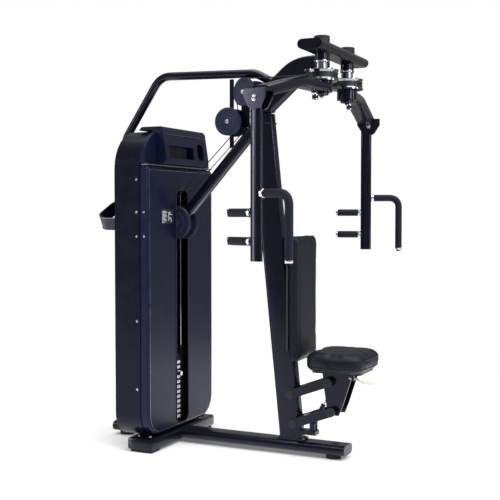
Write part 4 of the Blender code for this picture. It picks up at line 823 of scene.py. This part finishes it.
# Soft moulded rubber: matt, with a fine pebbled skin.
grip_rubber = surface(
    "soft_rubber_grip", "141622", 0.66, grain=0.9, relief=0.07, tone=0.10, edge=0.0, sheen="8e90a2"
)
TOE = math.radians(18)
for side, tag in ((-1, "right"), (1, "left")):
    dress(powder, "handle_post_" + tag, angle=40)
    forward = np.array((math.cos(TOE), side * math.sin(TOE), 0))
    outward = np.array((-math.sin(TOE), side * math.cos(TOE), 0))
    post = np.array((-0.080, side * 0.720, 0))
    body = "handle_" + tag
    upright = np.array((0, 0, 1.0))
    plug(
        "post_plug_" + tag, post + upright * 0.9932, (0, 0, -1), outward * side, 0.0340, 0.0576, 0.0001,
        rubber, body
    )
    for z, level in ((1.197, "upper"), (1.076, "lower")):
        node = f"rear_grip_{level}_{tag}"
        reach = np.array([0.0435, 0.0445, 0.0475, 0.0515, 0.1495, 0.1535, 0.1562])
        radius = np.array([0.0150, 0.0172, 0.0180, 0.0184, 0.0184, 0.0176, 0.0150])
        grip = turned(
            "sleeve_" + node, np.stack([radius, reach], 1), post + upright * z, -forward, grip_rubber, body,
            40, smooth=60
        )
        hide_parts(node)
        collar = [
            (0.0165, 0.0290), (0.0165, 0.0300), (0.0200, 0.0312), (0.0200, 0.0410), (0.0180, 0.0430),
            (0.0130, 0.0430)
        ]
        turned("collar_" + node, collar, post + upright * z, -forward, chrome, body, 40)
        end = [(0.0150, 0.1560), (0.0186, 0.1566), (0.0188, 0.1618), (0.0160, 0.1648), (0.0060, 0.1660)]
        turned("cap_" + node, end, post + upright * z, -forward, chrome, body, 40)
    corner = post + upright * 1.278 + forward * 0.180
    route = [post + upright * 1.278 + forward * 0.0445, corner, post + upright * 1.004 + forward * 0.180]
    path = eased([post + upright * 1.278, corner, route[-1]], 0.055, 18)
    path[0] = route[0]
    grid = drawn(path, circle(0.0182, 36), outward * side)
    grip = assembled("sleeve_pec_grip_" + tag, [grid], grip_rubber, body, smooth=60)
    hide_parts("pec_grip_" + tag)
    collar = [
        (0.0165, 0.0290), (0.0165, 0.0300), (0.0198, 0.0312), (0.0198, 0.0425), (0.0180, 0.0445),
        (0.0130, 0.0445)
    ]
    turned("collar_pec_grip_" + tag, collar, post + upright * 1.278, forward, chrome, body, 40)
    end = [
        (0.0150, 0.0), (0.0187, 0.0008), (0.0190, 0.0060), (0.0172, 0.0110), (0.0100, 0.0150),
        (0.003, 0.0160)
    ]
    turned("cap_pec_grip_" + tag, end, route[-1], (0, 0, -1), chrome, body, 40)

# ---------------------------------------------------------------- seat and back pad
# Both pads are foam on board under tight vinyl: the cover swells between the seams, and a piped seam follows
# each edge. The pads are filled by a short cloth simulation of the CAD pads' shapes.

# Embossed upholstery vinyl: leather pebbles 1.3 mm across and a low, broad shine.
vinyl = surface(
    "grained_upholstery_vinyl", "0e1018", 0.45, grain=1.3, relief=0.045, edge=0.0, cells=True, sheen="9496a4"
)
# Stained plywood: matt black with a short grain.
ply = surface("black_stained_plywood", "15151a", 0.70, grain=0.6, relief=0.040)
dress(ply, "back_board")


def stuffed(name, node, material, body, flat_axis, flat_low, most, shrink=0.005, voxel=0.006):
    """A filled pad: the CAD shape, a little smaller, swollen by cloth pressure.

    No point moves further than `most`, and points on the flat side stay on it.
    """
    source = frame["nodes"][node]
    pad = bpy.data.objects.new(name, source.data.copy())
    bpy.context.scene.collection.objects.link(pad)
    low, high = (np.array(v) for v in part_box(node))
    middle, size = (low + high) / 2, high - low
    co = np.empty(len(pad.data.vertices) * 3)
    pad.data.vertices.foreach_get("co", co)
    co = co.reshape(-1, 3)
    co = middle + (co - middle) * (size - 2 * shrink) / size
    pad.data.vertices.foreach_set("co", co.reshape(-1))
    remesh = pad.modifiers.new("Remesh", "REMESH")
    remesh.mode = "VOXEL"
    remesh.voxel_size = voxel
    bpy.context.view_layer.update()
    mesh = bpy.data.meshes.new_from_object(pad.evaluated_get(bpy.context.evaluated_depsgraph_get()))
    pad.modifiers.clear()
    pad.data = mesh
    rest = np.empty(len(mesh.vertices) * 3)
    mesh.vertices.foreach_get("co", rest)
    rest = rest.reshape(-1, 3)
    moved = rest.copy()
    cloth = pad.modifiers.new("Cloth", "CLOTH")
    cloth.settings.use_pressure = True
    cloth.settings.uniform_pressure_force = 4.0
    cloth.settings.effector_weights.gravity = 0.0
    for step in range(1, 21):
        bpy.context.scene.frame_set(step)
    swollen = pad.evaluated_get(bpy.context.evaluated_depsgraph_get())
    swollen.data.vertices.foreach_get("co", co := np.empty(len(rest) * 3))
    moved = co.reshape(-1, 3)
    pad.modifiers.clear()
    bpy.context.scene.frame_set(1)
    travel = moved - rest
    length = np.linalg.norm(travel, axis=1, keepdims=True)
    travel *= np.minimum(1, most / np.maximum(length, 1e-9))
    place = rest + travel
    edges = np.empty(len(mesh.edges) * 2, np.int64)
    mesh.edges.foreach_get("vertices", edges)
    a, b = edges.reshape(-1, 2).T
    count = np.bincount(edges, minlength=len(place))[:, None]
    for _ in range(6):
        total = np.zeros_like(place)
        np.add.at(total, a, place[b])
        np.add.at(total, b, place[a])
        place = (place + total / count) / 2
    place[:, flat_axis] = np.maximum(place[:, flat_axis], flat_low)
    mesh.vertices.foreach_set("co", place.reshape(-1))
    mesh.materials.clear()
    mesh.materials.append(material)
    mesh.shade_smooth()
    softer = pad.modifiers.new("Softened", "SUBSURF")
    softer.levels = 1
    softer.render_levels = 1
    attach(pad, body)
    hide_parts(node)
    return pad


def piping(name, pad, path, inward, radius, body):
    """A piped seam: a thin closed tube laid on the pad's surface along a path given near it."""
    surface_points = []
    for point in np.asarray(path):
        _, place, normal, _ = pad.closest_point_on_mesh(Vector(point))
        surface_points.append(np.array(place + normal * (radius * 0.25)))
    line = np.array(surface_points)
    for _ in range(2):
        line = (np.roll(line, 1, 0) + 2 * line + np.roll(line, -1, 0)) / 4
    tangent = np.roll(line, -1, 0) - np.roll(line, 1, 0)
    tangent /= np.linalg.norm(tangent, axis=1, keepdims=True)
    u = np.cross(tangent, np.array(inward, float))
    u /= np.linalg.norm(u, axis=1, keepdims=True)
    v = np.cross(tangent, u)
    section = circle(radius, 10)
    grid = line[:, None] + section[None, :, :1] * u[:, None] + section[None, :, 1:] * v[:, None]
    return assembled(name, [grid], vinyl, body, loop=True, smooth=80)


back_low, back_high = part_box("back_pad")
back_pad = stuffed("back_cushion", "back_pad", vinyl, "frame", 0, back_low.x, 0.009)
outline = rounded(
    back_low.y + 0.002, back_high.y - 0.002, back_low.z + 0.002, back_high.z - 0.002,
    (0.02, 0.034, 0.034, 0.02), 14
)
loop = []
for a, b in zip(outline, np.roll(outline, -1, 0)):
    count = max(1, int(np.linalg.norm(b - a) / 0.008))
    loop += [a + (b - a) * k / count for k in range(count)]
loop = np.array(loop)
for depth, tag in ((0.044, "front"), (0.010, "rear")):
    ring = np.concatenate([np.full((len(loop), 1), back_low.x + depth), loop], 1)
    piping("back_cushion_piping_" + tag, back_pad, ring, (1, 0, 0), 0.0022, "frame")

seat_low, seat_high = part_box("seat_pad")
seat_pad = stuffed("seat_cushion", "seat_pad", vinyl, "seat", 2, seat_low.z, 0.012)
half = (seat_high.y - seat_low.y) / 2
plan = [(0.0, 0.62), (0.030, 0.88), (0.125, 1.0), (0.220, 1.0), (0.285, 0.92), (0.330, 0.60)]
plan = [(seat_low.x + dx, -half * share) for dx, share in plan]
plan = np.array(plan + [(x, -y) for x, y in plan[::-1]])
for _ in range(3):
    ahead = np.roll(plan, -1, 0)
    plan = np.stack([plan * 0.75 + ahead * 0.25, plan * 0.25 + ahead * 0.75], 1).reshape(-1, 2)
loop = []
for a, b in zip(plan, np.roll(plan, -1, 0)):
    count = max(1, int(np.linalg.norm(b - a) / 0.006))
    loop += [a + (b - a) * k / count for k in range(count)]
loop = np.array(loop)
for height, tag in ((0.068, "upper"), (0.014, "lower")):
    ring = np.concatenate([loop, np.full((len(loop), 1), seat_low.z + height)], 1)
    piping("seat_cushion_piping_" + tag, seat_pad, ring, (0, 0, 1), 0.0022, "seat")

# ---------------------------------------------------------------- seat mechanism
# Round black bosses cover the ends of the pivot tubes, the gas spring is released through a thin sleeved
# cable, and an ivory paddle ends the release lever.

# Moulded ivory plastic: pale, warm and slightly glossy.
ivory = surface("ivory_moulded_plastic", "d9d7c9", 0.35, grain=1.0, relief=0.010, tone=0.03)
dress(powder, "lower_link", "upper_link", "seat_carriage", "gas_cylinder")
dress(chrome, "gas_rod")
for name, joint, body in (("lower", "seat_lift", "seat_lower"), ("upper", "seat_upper", "seat_upper")):
    place = Vector(joints[joint]["pos_m"])
    low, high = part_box(name + "_link")
    for side, tag in ((-1, "right"), (1, "left")):
        boss = [
            (0.0200, 0), (0.0200, 0.0040), (0.0180, 0.0060), (0.0080, 0.0068), (0.0070, 0.0050),
            (0.002, 0.0050)
        ]
        y = side * high.y
        turned(f"{name}_link_boss_rear_{tag}", boss, (place.x, y, place.z), (0, side, 0), rubber, body, 40)
        front_spot = (place.x + 0.199, y, place.z + 0.075)
        big = [(r * 1.12, h * 1.5) for r, h in boss]
        turned(f"{name}_link_boss_front_{tag}", big, front_spot, (0, side, 0), rubber, body, 40)
dress(ivory, "release_lever", angle=40)
release = eased(
    [(-0.010, 0.013, 0.348), (0.030, 0.030, 0.372), (0.080, 0.020, 0.392), (0.102, -0.048, 0.404)], 0.05, 8
)
assembled("release_cable", [drawn(release, circle(0.0022, 10), (0, 0.2, 1))], sleeve, "seat", smooth=80)

# ---------------------------------------------------------------- accessory hoop
# A bent flat strip welded behind the housing holds bars and straps. Thin pale lines along both of its edges
# are painted highlights.

dress(powder, "accessory_hoop")
tilt = math.radians(26)
_, hoop_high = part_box("accessory_hoop")
# Painted highlights: thin pale metal lines laid along the strip's upper and lower edges.
for lift, tag in ((0.0335, "upper"), (-0.0335, "lower")):
    arcs = []
    for centre, begin in ((-0.045, 270), (0.045, 180)):
        t = np.radians(np.linspace(begin, begin - 90, 14))
        arcs.append(np.stack([-0.070 + 0.0705 * np.cos(t), centre + 0.0705 * np.sin(t)], 1))
    flat = np.concatenate([[(0.0, -0.1155)], arcs[0], arcs[1], [(0.0, 0.1155)]])
    y = flat[:, 1] * math.cos(tilt) - lift * math.sin(tilt) - 0.200
    z = flat[:, 1] * math.sin(tilt) + lift * math.cos(tilt) + 1.190
    line = np.stack([flat[:, 0] + hoop_high.x, y, z], 1)
    normal = (0, -math.sin(tilt), math.cos(tilt))
    assembled("hoop_edge_painted_highlight_" + tag, [drawn(line, circle(0.0013, 8), normal)], trim_and_highlight_metal, "frame", smooth=80)
